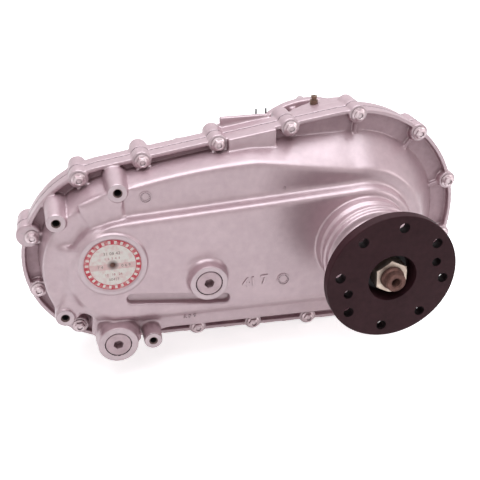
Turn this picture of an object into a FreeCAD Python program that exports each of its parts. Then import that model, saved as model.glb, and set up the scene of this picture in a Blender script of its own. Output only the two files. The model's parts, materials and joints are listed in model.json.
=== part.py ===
import FreeCAD, Part
import math
import os

# Chain driven two speed transfer case. Lengths are in millimetres and angles in degrees.
# The main shaft runs along Y at x = 0 and z = 0. The gearbox bolts on at y = 0, and the
# case reaches back from there towards minus Y, where the rear output flange stands.
# The front output shaft runs beside the main shaft, on the minus X side.

# shaft centres, as (x, z)
shaft_offset_x = -256.0
shaft_offset_z = 5.0
main_axis = (0.0, 0.0)
front_axis = (shaft_offset_x, shaft_offset_z)

# lengths along the main shaft
output_reach = 140.0
rear_shoulder_depth = 48.0
rear_face_depth = 62.0
gasket_thickness = 0.5

# casing outline at the joint between the halves
flange_right_radius = 125.0
chain_room = 1.78
flange_left_offset_x = 18.0
flange_left_offset_z = -17.0
flange_left_shift = 4.5
flange_left_drop = 1.5
left_lobe_angle = 161.0
left_lobe_radius = 12.2
left_lobe_shift = 3.5
rear_flange_thickness = 8.0
bolt_seat_thickness = 16.0
lip_width = 4.0
lip_drop = 1.5
front_joint_thickness = 15.5
wall = 5.0

# casing body behind the joint: how far its foot and its shoulder stand in from the joint's edge
foot_right_inset = 22.0
shoulder_right_inset = 52.0
foot_left_inset = 12.0
shoulder_left_inset = 17.0
foot_knee_inset = 26.0
shoulder_knee_inset = 34.0
foot_low_inset = 19.0
shoulder_low_inset = 32.0
knee_share = 0.426
foot_bow = 0.5
shoulder_bow = 4.5
low_end_x = -5.0
body_right_angle = 94.0
body_left_angle = 97.0
body_low_angle = 240.0

# raised face of the rear half
face_right_inset = 65.0
face_left_radius = 62.0
face_left_offset_x = 11.0
face_left_offset_z = -19.0
face_low_inset = 45.0
face_draft = 3.0
face_left_draft = 8.0
face_low_draft = 17.0
face_hollow_radius = 50.0
face_hollow_left_radius = 30.0
face_top_shift_x = 5.0
face_top_shift_z = 6.0
face_right_angle = 100.0
face_left_angle = 87.0
face_low_angle = 250.0
groove_length = 94.0
groove_radius = 5.3
groove_depth = 8.0
groove_offset_x = 63.0
groove_offset_z = -49.0
groove_fall = 12.0

# case bolts
bolt_radius = 4.0
bolt_hole_gap = 0.3
bolt_length = 30.0
bolt_flange_radius = 7.2
bolt_flange_thickness = 2.0
bolt_head_across_flats = 10.0
bolt_head_height = 5.5
bolt_head_chamfer = 1.3
bolt_dish_radius = 3.6
bolt_dish_depth = 0.9
bolt_skirt_lip = 0.6
bolt_hole_spare = 2.0
bolt_boss_radius = 9.5
bolt_inset = 4.5
right_bolt_angles = (88.0, 52.0, 18.0, -14.0, -45.0, -76.0)
left_bolt_angles = (115.0, 161.0, 197.0, 234.0)
top_bolt_shares = (0.149, 0.473, 0.788)
bottom_bolt_shares = (0.315, 0.585, 0.86)
dowel_radius = 4.0
dowel_length = 12.0
dowel_inset = 9.0
dowel_hole_spare = 0.5
dowel_angles = (35.0, -30.0)
rib_angles = right_bolt_angles[:3]
rib_sink = 7.0

# tapped bosses on the rear half, each as (x and z from the front output shaft's centre, depth of
# its face behind the output flange)
tapped_boss_offsets = ((-48.0, 45.0, 86.0), (11.0, 70.0, 86.0), (-51.0, -59.0, 84.0))
low_boss_offset_x = 33.5
low_boss_rise = 39.0
low_boss_back = 71.0
tapped_boss_radius = 9.2
tapped_boss_draft = 3.3
tapped_hole_radius = 3.4
tapped_hole_depth = 22.0
countersink = 1.1

# pocket in the body beside the lower left tapped boss, round the bolt there
corner_pocket_offset = (-33.5, -70.0)
corner_pocket_radius = 8.5
corner_pocket_bolt_space = 2.2

# oil plugs: the fill plug as (x and z from the front output shaft's centre, depth of its boss's
# face behind the output flange), and the drain plug by its height over the joint's lowest point
fill_offset = (92.0, -27.0, 65.0)
drain_offset_x = -2.0
drain_rise = 41.0
drain_back = 69.0
plug_boss_radius = 19.6
plug_boss_rim = 0.6
plug_boss_flare = 4.0
plug_boss_waist = 2.6
drain_boss_radius = 20.8
drain_step_radius = 22.8
drain_step_back = 12.0
drain_step_fall = 2.0
drain_web_radius = 5.0
drain_web_back = 74.0
drain_web_shift_x = 1.0
drain_web_shift_z = 2.0
plug_radius = 13.0
plug_length = 16.0
plug_hex_across_flats = 9.0
plug_hex_depth = 8.0
plug_gap = 0.02
plug_ring_width = 0.7
plug_ring_depth = 1.2
plug_sink = 0.3
plug_chamfer = 0.8
plug_end_chamfer = 1.0
plug_hole_spare = 0.5
plug_socket_angle = 12.0

# rear output boss, flange and nut
boss_radius = 49.8
boss_neck_radius = 47.5
boss_ring_radius = 51.6
boss_step_radius = 49.4
nose_radius = 42.0
nose_back = 28.0
nose_chamfer = 2.0
boss_foot_flare = 1.4
boss_steps = ((67.0, boss_radius), (64.0, boss_neck_radius), (57.0, boss_neck_radius),
              (55.0, boss_ring_radius), (51.0, boss_ring_radius), (50.0, boss_step_radius),
              (44.0, boss_step_radius), (41.0, nose_radius + nose_chamfer))
output_flange_radius = 65.0
output_flange_thickness = 11.0
flange_edge = 0.8
flange_fillet = 3.0
output_hole_circle_diameter = 105.6
output_hole_radius = 4.9
output_hole_count = 8
output_hole_start = 83.0
puller_hole_radius = 4.4
puller_circle_diameter = 90.2
puller_angle = 15.5
puller_hole_count = 2
output_hub_radius = 27.0
output_hub_shoulder_radius = 29.5
recess_radius = 24.0
recess_depth = 20.0
washer_radius = 21.5
washer_thickness = 2.5
nut_across_flats = 30.0
nut_height = 15.5
nut_angle = 33.0
nut_corner_cut = 1.6
nut_chamfer = 1.2
front_nut_height = 10.0
front_nut_angle = 10.0
stub_radius = 11.3
stub_nose_radius = 9.6
stub_proud = 9.0
centre_drill_radius = 5.0
centre_drill_depth = 9.0
centre_drill_flare = 0.5
centre_drill_taper = 1.2
stub_chamfer = 0.8
stub_step = 2.0

# label boss over the front output's rear bearing
label_boss_radius = 33.0
label_boss_proud = 3.0
label_boss_foot_flare = 9.0
label_boss_waist_flare = 5.0
label_boss_brow_flare = 1.5
label_recess_radius = 28.6
label_recess_depth = 1.6
label_radius = 27.4
label_thickness = 0.4
label_hole_radius = 2.6

# running and seating clearances
running_gap = 0.05
body_gap = 0.3
seat_gap = 0.02

# shafts and bearings
main_radius = 22.0
hub_seat_radius = 19.0
rear_journal_radius = 20.0
flange_seat_radius = 18.0
pilot_radius = 10.0
pilot_bearing_radius = 14.0
big_bearing_radius = 40.0
big_bearing_width = 18.0
input_bearing_radius = 45.0
input_bearing_width = 18.0
input_radius = 25.0
input_spline_radius = 16.0
input_pilot_radius = 17.5
input_pilot_length = 10.0
spline_teeth = 24
spline_depth = 1.6
needle_radius = 19.0
front_tail_radius = 12.5
front_shaft_radius = 20.0
front_shoulder_step = 5.0
front_tail_reach = 20.5
front_spline_radius = 16.0
seal_width = 10.0
output_seal_radius = 34.0
front_seal_radius = 33.0
input_seal_radius = 38.0
snap_ring_thickness = 1.8
snap_ring_depth = 2.2
snap_ring_gap = 0.1
snap_ring_reach = 3.0
snap_ring_opening = 10.0
big_ball_count = 9
input_ball_count = 10
pilot_needle_radius = 1.3
pilot_needle_count = 14
pilot_bearing_width = 14.0
tail_needle_radius = 2.0
tail_needle_count = 16
tail_bearing_gap = 0.5
tail_boss_setback = 6.0
tail_boss_wall = 7.0
seal_wall = 3.0
seal_lip = 2.5
seal_lip_depth = 6.0
seal_face = 2.0

# places along the main shaft, each from its neighbour
input_front_setback = 3.0
input_bearing_setback = 14.0
range_travel = 12.0
mode_travel = 9.0
fork_space = 7.0
chain_setback = 5.0
bearing_depth = 46.0
pump_setback = 5.0
left_web_proud = 5.0
gear_setback = 10.0
carrier_overhang = 7.0
range_dog_length = 16.0
hub_setback = 1.0
collar_setback = 2.0
mode_collar_reach = 7.0

# gears
gear_module = 1.75
sun_teeth = 42
planet_teeth = 15
ring_teeth = sun_teeth + 2 * planet_teeth
planet_count = 3
pressure_angle = 20.0
gear_backlash = 0.22
gear_width = 18.0
ring_addendum = 0.75
planet_pin_radius = 5.0
ring_gear_rim = 5.5
ring_gear_space = 2.0
carrier_post_circle = 50.0
carrier_post_radius = 8.5
input_spline_length = 44.0
range_hub_length = 11.0
mode_hub_length = 12.0
sprocket_bearing_wall = 4.5
carrier_plate = 5.0
carrier_bore_step = 3.0
sun_space = 1.5
carrier_radius = 60.0

# chain drive
sprocket_teeth = 30
chain_pitch = 9.525
chain_width = 30.0
chain_height = 6.6
sprocket_tooth_height = 4.0
sprocket_tip_over = 0.9
chain_gap = 0.4
link_gap = 0.25
link_chamfer = 1.4
link_waist = 0.9
tooth_root_share = 0.34
tooth_tip_share = 0.15
sprocket_row_width = 12.0
sprocket_waist_depth = 6.0

# shift parts
rail_x = -100.0
rail_z = 45.0
rail_radius = 7.0
rail_front_sink = 19.5
rail_hole_sink = 20.0
rail_boss_reach = 26.0
rail_rear_reach = 11.0
fork_hub_radius = 13.0
fork_thickness = 6.0
fork_side_gap = 0.3
fork_ring_width = 12.0
fork_ring_gap = 0.4
fork_open_x = 10.0
fork_arm_angle = 156.0
fork_arm_radius = 14.0
fork_arm_end_radius = 8.0
fork_block_low = 10.0
fork_block_high = 8.0
fork_block_under = 1.5
range_dog_radius = 27.0
mode_dog_wall = 3.5
collar_wall = 11.0
collar_groove = 4.0
collar_length = 18.0
selector_x = -128.0
selector_radius = 8.0
selector_pin_radius = 4.0
sector_thickness = 6.0
sector_z = 60.0
lever_length = 40.0
lever_angle = 180.0
lever_thickness = 6.0
lever_width = 20.0
lever_hole_radius = 5.0
selector_stub_radius = 5.5
selector_stub_length = 14.0
selector_low_z = 42.0
sector_radius = 14.0
sector_tip_radius = 7.0
lever_nut_across_flats = 13.0
lever_nut_height = 6.0
lever_nut_angle = 20.0
detent_reach = 48.0
detent_radius = 5.0
detent_boss_wall = 5.0
detent_plug_step = 2.0
detent_plug_reach = 6.5
detent_plug_head = 3.0
plunger_length = 16.0
spring_wire_radius = 0.7
spring_inset = 1.2
spring_turns = 4.0
fork_hub_half = 8.0
selector_boss_z = 75.0
selector_boss_wall = 6.0
sector_housing_radius = 21.0
sector_headroom = 2.0
seal_recess = 4.5
selector_seal_wall = 3.0

# gear position switch and vent on top of the front half
switch_wall_low_x = -133.0
switch_wall_high_x = -82.0
switch_wall_inset = 8.0
switch_wall_thickness = 6.0
switch_shelf_inset = 20.0
switch_shelf_depth = 21.0
top_root_sink = 23.0
switch_x = -86.7
switch_thread_radius = 4.0
switch_thread_length = 10.0
switch_head_step = 2.7
switch_head_height = 4.5
switch_pin_radius = 0.9
switch_pin_span = 10.5
switch_pin_proud = 2.5
switch_hole_spare = 2.0
hump_low_x = -66.0
hump_high_x = 10.0
hump_inset = 0.5
hump_depth = 20.0
vent_x = -29.0
vent_radius = 2.6
vent_bore_radius = 1.4
vent_proud = 5.0
vent_sink = 12.0
vent_hole_spare = 4.0
vent_barb_height = 2.5
vent_barb_step = 0.6
vent_collar_sink = 4.0
vent_collar_proud = 0.5
vent_collar_step = 1.6
top_axis_back = 12.0

# front side of the front half
bowl_inset = 31.0
pocket_x = -118.0
pocket_z = 35.0
pocket_radius = 39.0
pocket_depth = 20.0
front_draft = 5.0
front_body_depth = 29.0
front_boss_under = 9.0
front_hub_radius = 25.0
front_hub_flare = 4.0
front_recess_radius = 20.5
front_recess_depth = 14.0
front_bearing_depth = 14.0
front_nose_depth = 12.0
front_boss_foot_radius = 58.0
front_boss_waist_radius = 52.0
front_boss_steps = ((10.0, 48.0), (7.0, 41.0), (0.0, 39.5))
front_boss_shoulder_radius = 49.0
adapter_radius = 95.0
adapter_thickness = 13.0
adapter_edge = 1.0
gear_housing_flare = 12.0
gear_housing_wall = 9.0
input_housing_flare = 14.0
input_housing_wall = 12.0
input_housing_y = -5.0
stud_circle_diameter = 164.0
stud_radius = 5.0
stud_count = 6
stud_reach = 32.0
stud_start_angle = 30.0
stud_chamfer = 1.0
stud_hole_end = 1.0
stud_end = 1.5
stud_seat_step = 0.7
stud_mouth_gap = 0.4
stud_mouth_depth = 1.5
front_flange_radius = 46.0
front_flange_thickness = 10.0
front_flange_reach = 18.0
front_flange_edge = 1.0
front_hole_angle = 45.0
front_hole_circle_diameter = 74.0
front_hole_radius = 5.25
front_hole_count = 4
rib_thickness = 6.0
nub_width = 3.6
nub_height = 4.5
front_fin_count = 6
front_fin_inner = 38.0
front_fin_outer = 62.0
bowl_gusset_count = 12
bowl_gusset_angle = 15.0
bowl_gusset_inner = 50.0
front_web_heights = (-38.0, 0.0, 30.0)
front_web_offset_x = 36.0
front_web_right_x = -60.0
front_web_slope_x = -80.0
front_web_top_y = -40.0
front_web_end = 10.0

# webs on the left end of the rear half, with corners measured from the front output shaft's centre
left_web_corners = ((-28.6, 60.0), (-8.0, 68.0), (15.0, 74.0), (15.0, 40.0), (0.0, 25.0), (-17.6, 35.0))
left_web_sink = 9.0
gusset_reach = 55.0
gusset_thickness = 18.0

# pad on the top edge of the joint
pad_short = 6.0
pad_under = 14.0
pad_over = 4.0
pad_proud = 5.0

# oil pump
pump_radius = 42.0
pump_rotor_radius = 27.7
pump_depth = 15.0
pump_cover_thickness = 5.0
pickup_radius = 3.2
strainer_length = 28.0
strainer_height = 14.0
magnet_radius = 8.0
magnet_thickness = 4.0
magnet_hole_radius = 2.0
magnet_x = -75.0
magnet_inset = 21.0
strainer_offset_x = 78.0
strainer_inset = 21.0
strainer_thickness = 6.4
strainer_slot_count = 5
strainer_slot_width = 2.0
strainer_slot_pitch = 5.0
strainer_wall = 1.2
strainer_end = 4.0
strainer_top = 3.0
pump_floor = 4.0
pump_gap = 0.1
pump_slot_count = 8
pump_slot_half = 0.8
pump_slot_root = 2.0
pickup_offset_z = 6.0
pickup_lug_wall = 2.5
pickup_lug_reach = 3.0
pickup_start = 1.5
pickup_entry = 1.5

# bores and dogs that follow from the main shaft
sprocket_bore = main_radius + sprocket_bearing_wall
mode_dog_radius = sprocket_bore + mode_dog_wall

# the left end of the joint, which follows from the chain round the driven sprocket
sprocket_radius = chain_pitch / 2.0 / math.sin(math.pi / sprocket_teeth)
sprocket_tip = sprocket_radius + sprocket_tip_over
chain_inner = sprocket_tip + chain_gap
chain_outer = chain_inner + chain_height
left_offset = math.hypot(flange_left_offset_x, flange_left_offset_z)
flange_left_radius = left_offset + chain_outer + chain_room + wall + shoulder_left_inset

# sizes that follow from the joint's outline
foot_right_radius = flange_right_radius - foot_right_inset
shoulder_right_radius = flange_right_radius - shoulder_right_inset
foot_left_radius = flange_left_radius - foot_left_inset
shoulder_left_radius = flange_left_radius - shoulder_left_inset
foot_knee_height = flange_right_radius - foot_knee_inset
shoulder_knee_height = flange_right_radius - shoulder_knee_inset
foot_low = flange_right_radius - foot_low_inset
shoulder_low = flange_right_radius - shoulder_low_inset
face_right_radius = flange_right_radius - face_right_inset
face_low = flange_right_radius - face_low_inset
bowl_radius = flange_right_radius - bowl_inset
top_root_z = foot_right_radius - top_root_sink
switch_wall_z = flange_right_radius - switch_wall_inset
switch_shelf_z = flange_right_radius - switch_shelf_inset
switch_tip_z = switch_wall_z + switch_pin_proud
hump_radius = flange_right_radius - hump_inset
vent_tip_z = hump_radius + vent_proud

# places that follow from the front output shaft
magnet_z = magnet_inset - shoulder_low
strainer_z = strainer_inset - shoulder_low
knee_x = shaft_offset_x * knee_share
front_web_left_x = shaft_offset_x + front_web_offset_x
detent_x = selector_x - detent_reach
tapped_bosses = [(shaft_offset_x + x, shaft_offset_z + z, back) for x, z, back in tapped_boss_offsets]
tapped_bosses.append((shaft_offset_x + low_boss_offset_x, low_boss_rise - flange_right_radius, low_boss_back))
fill_place = (shaft_offset_x + fill_offset[0], shaft_offset_z + fill_offset[1], fill_offset[2])
drain_place = (shaft_offset_x + drain_offset_x, drain_rise - flange_right_radius, drain_back)
corner_pocket_place = (shaft_offset_x + corner_pocket_offset[0], shaft_offset_z + corner_pocket_offset[1])
groove_x = shaft_offset_x + groove_offset_x
groove_z = shaft_offset_z + groove_offset_z
strainer_x = shaft_offset_x + strainer_offset_x

# planes along Y that several pieces share
input_front_y = -input_front_setback
input_bearing_y = -input_bearing_setback
input_back_y = input_bearing_y - input_bearing_width
gear_front_y = input_back_y - gear_setback
gear_back_y = gear_front_y - gear_width
carrier_front_y = gear_front_y + carrier_overhang
carrier_back_y = gear_back_y - carrier_overhang
dog_back_y = gear_back_y - range_dog_length
hub_front_y = dog_back_y - hub_setback
range_collar_y = carrier_back_y - collar_setback - collar_length
range_fork_y = range_collar_y + collar_length / 2.0
mode_collar_y = range_collar_y - range_travel - fork_space - mode_travel - collar_length
mode_fork_y = mode_collar_y + collar_length / 2.0
chain_front_y = mode_collar_y - mode_collar_reach
chain_rear_y = chain_front_y - chain_width
split_y = chain_front_y + chain_setback
output_y = split_y - output_reach
trough_y = split_y - rear_flange_thickness
seat_y = split_y - bolt_seat_thickness
shoulder_y = split_y - rear_shoulder_depth
face_y = split_y - rear_face_depth
front_split_y = split_y + gasket_thickness
front_foot_y = front_split_y + front_joint_thickness
front_floor_y = front_foot_y + front_body_depth
cavity_front_y = front_floor_y - wall
left_axis = (shaft_offset_x + flange_left_offset_x, shaft_offset_z + flange_left_offset_z)
face_left_axis = (shaft_offset_x + face_left_offset_x, shaft_offset_z + face_left_offset_z)
bearing_rear_y = output_y + bearing_depth
bearing_front_y = bearing_rear_y + big_bearing_width
pump_rear_y = bearing_front_y + pump_setback
web_y = shoulder_y - left_web_proud
selector_y = range_fork_y
pocket_front_y = range_fork_y + pocket_depth
front_bearing_y = front_floor_y + front_bearing_depth
front_nose_y = front_bearing_y + big_bearing_width + front_nose_depth
front_flange_y = front_nose_y + front_flange_reach
ring_bottom = gear_module * ring_teeth / 2.0 + 1.25 * gear_module
ring_gear_radius = ring_bottom + ring_gear_rim
ring_turn = 180.0 / ring_teeth
shaft_step_y = output_y + recess_depth + hub_setback
mode_hub_back_y = mode_fork_y - hub_setback
front_seat_y = front_flange_y - front_recess_depth
detent_z = sector_z + sector_thickness / 2.0
lever_z = selector_boss_z + body_gap
switch_y = front_foot_y + top_axis_back
pickup_y = chain_rear_y - pickup_radius - hub_setback
washer_y = output_y + recess_depth - washer_thickness
tail_boss_y = chain_rear_y - tail_boss_setback
pump_back_y = pump_rear_y + pump_gap
pickup_z = pickup_offset_z - pump_radius


# basic shapes
def polar(centre, radius, degrees):
    angle = math.radians(degrees)
    return (centre[0] + radius * math.cos(angle), centre[1] + radius * math.sin(angle))


def place(point, y):
    return FreeCAD.Vector(point[0], y, point[1])


def rod(centre, y_back, y_front, radius):
    return Part.makeCylinder(radius, y_front - y_back, place(centre, y_back), FreeCAD.Vector(0, 1, 0))


def tube(centre, y_back, y_front, outer, inner):
    return rod(centre, y_back, y_front, outer).cut(rod(centre, y_back, y_front, inner))


def post(x, y, z_low, z_high, radius):
    return Part.makeCylinder(radius, z_high - z_low, FreeCAD.Vector(x, y, z_low))


def block(x_low, x_high, y_low, y_high, z_low, z_high):
    return Part.makeBox(x_high - x_low, y_high - y_low, z_high - z_low, FreeCAD.Vector(x_low, y_low, z_low))


def turned(centre, profile):
    # the profile is a list of (y, radius) corners, closed along the axis
    corners = [FreeCAD.Vector(centre[0], profile[0][0], centre[1])]
    for y, radius in profile:
        corners.append(FreeCAD.Vector(centre[0] + radius, y, centre[1]))
    corners.append(FreeCAD.Vector(centre[0], profile[-1][0], centre[1]))
    corners.append(corners[0])
    face = Part.Face(Part.makePolygon(corners))
    return face.revolve(place(centre, 0), FreeCAD.Vector(0, 1, 0), 360)


def prism(wire, y_back, y_front):
    face = Part.Face(wire)
    solid = face.extrude(FreeCAD.Vector(0, y_front - y_back, 0))
    return solid


def arc(centre, radius, start, end, y):
    middle = (start + end) / 2.0
    return Part.Arc(place(polar(centre, radius, start), y), place(polar(centre, radius, middle), y),
                    place(polar(centre, radius, end), y)).toShape()


def line(first, second, y):
    return Part.LineSegment(place(first, y), place(second, y)).toShape()


def hexagon(centre, across_flats, turn, y):
    corner = across_flats / math.sqrt(3.0)
    points = [place(polar(centre, corner, turn + 60.0 * index), y) for index in range(7)]
    return Part.makePolygon(points)


def tangents(right, right_radius, left, left_radius):
    # directions, in degrees, of the points where the belt lines touch both circles
    across = right[0] - left[0]
    rise = right[1] - left[1]
    slope = math.degrees(math.atan2(rise, across))
    lean = math.degrees(math.asin((right_radius - left_radius) / math.hypot(across, rise)))
    return slope + 90.0 + lean, slope - 90.0 - lean


def belt_wire(right, right_radius, left, left_radius, y):
    top, bottom = tangents(right, right_radius, left, left_radius)
    edges = [arc(right, right_radius, bottom, top, y)]
    edges.append(line(polar(right, right_radius, top), polar(left, left_radius, top), y))
    edges.append(arc(left, left_radius, top, bottom + 360.0, y))
    edges.append(line(polar(left, left_radius, bottom), polar(right, right_radius, bottom), y))
    return Part.Wire(edges)


def belt(right, right_radius, left, left_radius, y_back, y_front):
    return prism(belt_wire(right, right_radius, left, left_radius, y_back), y_back, y_front)


def fused(shapes):
    return shapes[0].multiFuse(shapes[1:]).removeSplitter()


def around(shape, count, centre=main_axis):
    copies = []
    for index in range(count):
        turned_copy = shape.copy()
        turned_copy.rotate(place(centre, 0), FreeCAD.Vector(0, -1, 0), 360.0 * index / count)
        copies.append(turned_copy)
    return copies


# casing outline and what follows it
def joint_points(shares, side):
    top, bottom = tangents(main_axis, flange_right_radius, left_axis, flange_left_radius)
    direction = top if side > 0 else bottom
    start = polar(left_axis, flange_left_radius - bolt_inset, direction)
    end = polar(main_axis, flange_right_radius - bolt_inset, direction)
    return [(start[0] + share * (end[0] - start[0]),
             start[1] + share * (end[1] - start[1])) for share in shares]


def bolt_places():
    places = [polar(main_axis, flange_right_radius - bolt_inset, angle) for angle in right_bolt_angles]
    places += [polar(left_axis, flange_left_radius - bolt_inset, angle) for angle in left_bolt_angles]
    places += joint_points(top_bolt_shares, 1)
    places += joint_points(bottom_bolt_shares, -1)
    return places


def dowel_places():
    return [polar(main_axis, flange_right_radius - dowel_inset, angle) for angle in dowel_angles]


def stud_places():
    step = 360.0 / stud_count
    return [polar(main_axis, stud_circle_diameter / 2.0, stud_start_angle + index * step)
            for index in range(stud_count)]


def low_quarter(right_radius, low, y):
    # from the far right of the outline round to its flat bottom, upright where it starts
    middle = (right_radius ** 2 - low_end_x ** 2 - low ** 2) / (2.0 * (right_radius - low_end_x))
    radius = right_radius - middle
    last = math.degrees(math.atan2(-low, low_end_x - middle))
    return arc((middle, 0.0), radius, 0.0, last, y)


def bowed_edge(first, second, bow, y):
    middle = ((first[0] + second[0]) / 2.0, (first[1] + second[1]) / 2.0 + bow)
    return Part.Arc(place(first, y), place(middle, y), place(second, y)).toShape()


def body_wire(right_radius, left_radius, knee, low, bow, y):
    start = polar(main_axis, right_radius, body_right_angle)
    knee_point = (knee_x, knee)
    left_top = polar(left_axis, left_radius, body_left_angle)
    left_low = polar(left_axis, left_radius, body_low_angle)
    edges = [arc(main_axis, right_radius, body_right_angle, 0.0, y)]
    edges.append(low_quarter(right_radius, low, y))
    edges.append(line((low_end_x, -low), left_low, y))
    edges.append(arc(left_axis, left_radius, body_low_angle, body_left_angle, y))
    edges.append(bowed_edge(left_top, knee_point, bow, y))
    edges.append(line(knee_point, start, y))
    return Part.Wire(edges)


def face_wire(right_radius, left, left_radius, low, y):
    start = polar(main_axis, right_radius, face_right_angle)
    left_top = polar(left, left_radius, face_left_angle)
    left_low = polar(left, left_radius, face_low_angle)
    edges = [arc(main_axis, right_radius, face_right_angle, 0.0, y)]
    edges.append(low_quarter(right_radius, low, y))
    edges.append(line((low_end_x, -low), left_low, y))
    edges.append(arc(left, left_radius, face_low_angle, face_left_angle, y))
    edges.append(line(left_top, start, y))
    return Part.Wire(edges)


def body_stage(first_y, second_y, inset):
    first = body_wire(foot_right_radius - inset, foot_left_radius - inset, foot_knee_height - inset,
                      foot_low - inset, foot_bow, first_y)
    second = body_wire(shoulder_right_radius - inset, shoulder_left_radius - inset,
                       shoulder_knee_height - inset, shoulder_low - inset, shoulder_bow, second_y)
    return Part.makeLoft([first, second], True, True)


def joint_plate(y_back, y_front, boss_y):
    left = (left_axis[0] - flange_left_shift, left_axis[1] - flange_left_drop)
    plate = belt(main_axis, flange_right_radius, left, flange_left_radius, y_back, y_front)
    low = min(boss_y, y_back)
    high = max(boss_y, y_front)
    bosses = [rod(place_of_bolt, low, high, bolt_boss_radius) for place_of_bolt in bolt_places()]
    lobe = polar(left_axis, flange_left_radius - bolt_inset + left_lobe_shift, left_lobe_angle)
    return [plate, rod(lobe, low, high, left_lobe_radius)] + bosses


# rear half casing
def joint_lip():
    # a raised lip round the outer edge of the joint flange
    left = (left_axis[0] - flange_left_shift, left_axis[1] - flange_left_drop)
    lip_y = seat_y + lip_drop
    outer = belt(main_axis, flange_right_radius, left, flange_left_radius, lip_y, trough_y + 1.0)
    inner = belt(main_axis, flange_right_radius - lip_width, left, flange_left_radius - lip_width,
                 lip_y - 1.0, trough_y + 2.0)
    return outer.cut(inner)


def corner_pocket(spare, y_back, y_front):
    # the spare thickens the pocket into the wall that the hollow inside leaves round it
    bolt = polar(left_axis, flange_left_radius - bolt_inset, left_bolt_angles[3])
    return belt(corner_pocket_place, corner_pocket_radius + spare, bolt,
                bolt_boss_radius + corner_pocket_bolt_space + spare, y_back, y_front)


def rear_output_boss():
    profile = [(shoulder_y, boss_radius + boss_foot_flare), (face_y, boss_radius + boss_foot_flare - 1.0),
               (face_y - boss_foot_flare, boss_radius)]
    profile += [(output_y + back, radius) for back, radius in boss_steps]
    profile += [(output_y + nose_back + nose_chamfer, nose_radius),
                (output_y + nose_back, nose_radius - nose_chamfer)]
    return turned(main_axis, profile)


def label_boss():
    top_y = face_y - label_boss_proud
    profile = [(shoulder_y + 2.0, label_boss_radius + label_boss_foot_flare),
               (face_y + 4.0, label_boss_radius + label_boss_waist_flare)]
    profile += [(face_y, label_boss_radius + label_boss_brow_flare), (top_y, label_boss_radius)]
    return turned(front_axis, profile)


def left_webs():
    # webs that run from the label boss out to the tapped bosses and the left end
    webs = []
    lower = (tapped_bosses[2][0], tapped_bosses[2][1])
    points = [place((shaft_offset_x + x, shaft_offset_z + z), web_y) for x, z in left_web_corners]
    webs.append(prism(Part.makePolygon(points + [points[0]]), web_y, shoulder_y + 2.0))
    webs.append(belt(front_axis, label_boss_radius - left_web_sink, lower, tapped_boss_radius + 1.0, web_y,
                     trough_y))
    root_x = shaft_offset_x - label_boss_radius + label_boss_proud
    tip = FreeCAD.Vector(shaft_offset_x - gusset_reach, shoulder_y + 1.0, shaft_offset_z)
    root_high = FreeCAD.Vector(root_x, face_y, shaft_offset_z)
    root_low = FreeCAD.Vector(root_x, shoulder_y + 1.0, shaft_offset_z)
    gusset = Part.Face(Part.makePolygon([tip, root_high, root_low, tip]))
    webs.append(gusset.extrude(FreeCAD.Vector(0, 0, gusset_thickness)))
    return webs


def flange_pad():
    first, second = joint_points((top_bolt_shares[1], top_bolt_shares[2]), 1)
    slope = (second[1] - first[1]) / (second[0] - first[0])
    x_low = first[0] + bolt_boss_radius
    x_high = second[0] - bolt_boss_radius - pad_short
    z_low = first[1] + slope * (x_low - first[0])
    z_high = first[1] + slope * (x_high - first[0])
    corners = [(x_low, z_low - pad_under), (x_high, z_high - pad_under), (x_high, z_high + pad_over),
               (x_low, z_low + pad_over)]
    points = [place(corner, seat_y - pad_proud) for corner in corners]
    return prism(Part.makePolygon(points + [points[0]]), seat_y - pad_proud, split_y - 2.0)


def plug_cavity(place_of_plug):
    x, z, back = place_of_plug
    boss_face = output_y + back
    hole = rod((x, z), boss_face - 1.0, boss_face + plug_length + plug_hole_spare, plug_radius + plug_gap)
    rim = rod((x, z), boss_face - 1.0, boss_face + plug_ring_depth, plug_radius + plug_ring_width)
    return [hole, rim]


def groove():
    first = (groove_x - groove_length / 2.0, groove_z + groove_fall / 2.0)
    second = (groove_x + groove_length / 2.0, groove_z - groove_fall / 2.0)
    return belt(second, groove_radius, first, groove_radius, face_y - 1.0, face_y + groove_depth)


def bolt_ribs():
    # short ribs from the right end's bolt bosses in to the body
    nubs = []
    inner = foot_right_radius - rib_sink
    outer = flange_right_radius - bolt_inset
    for angle in rib_angles:
        nub = block(inner, outer, trough_y - nub_height, trough_y + 1.0, -nub_width / 2.0, nub_width / 2.0)
        nub.rotate(FreeCAD.Vector(0, 0, 0), FreeCAD.Vector(0, -1, 0), angle)
        nubs.append(nub)
    return nubs


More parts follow.
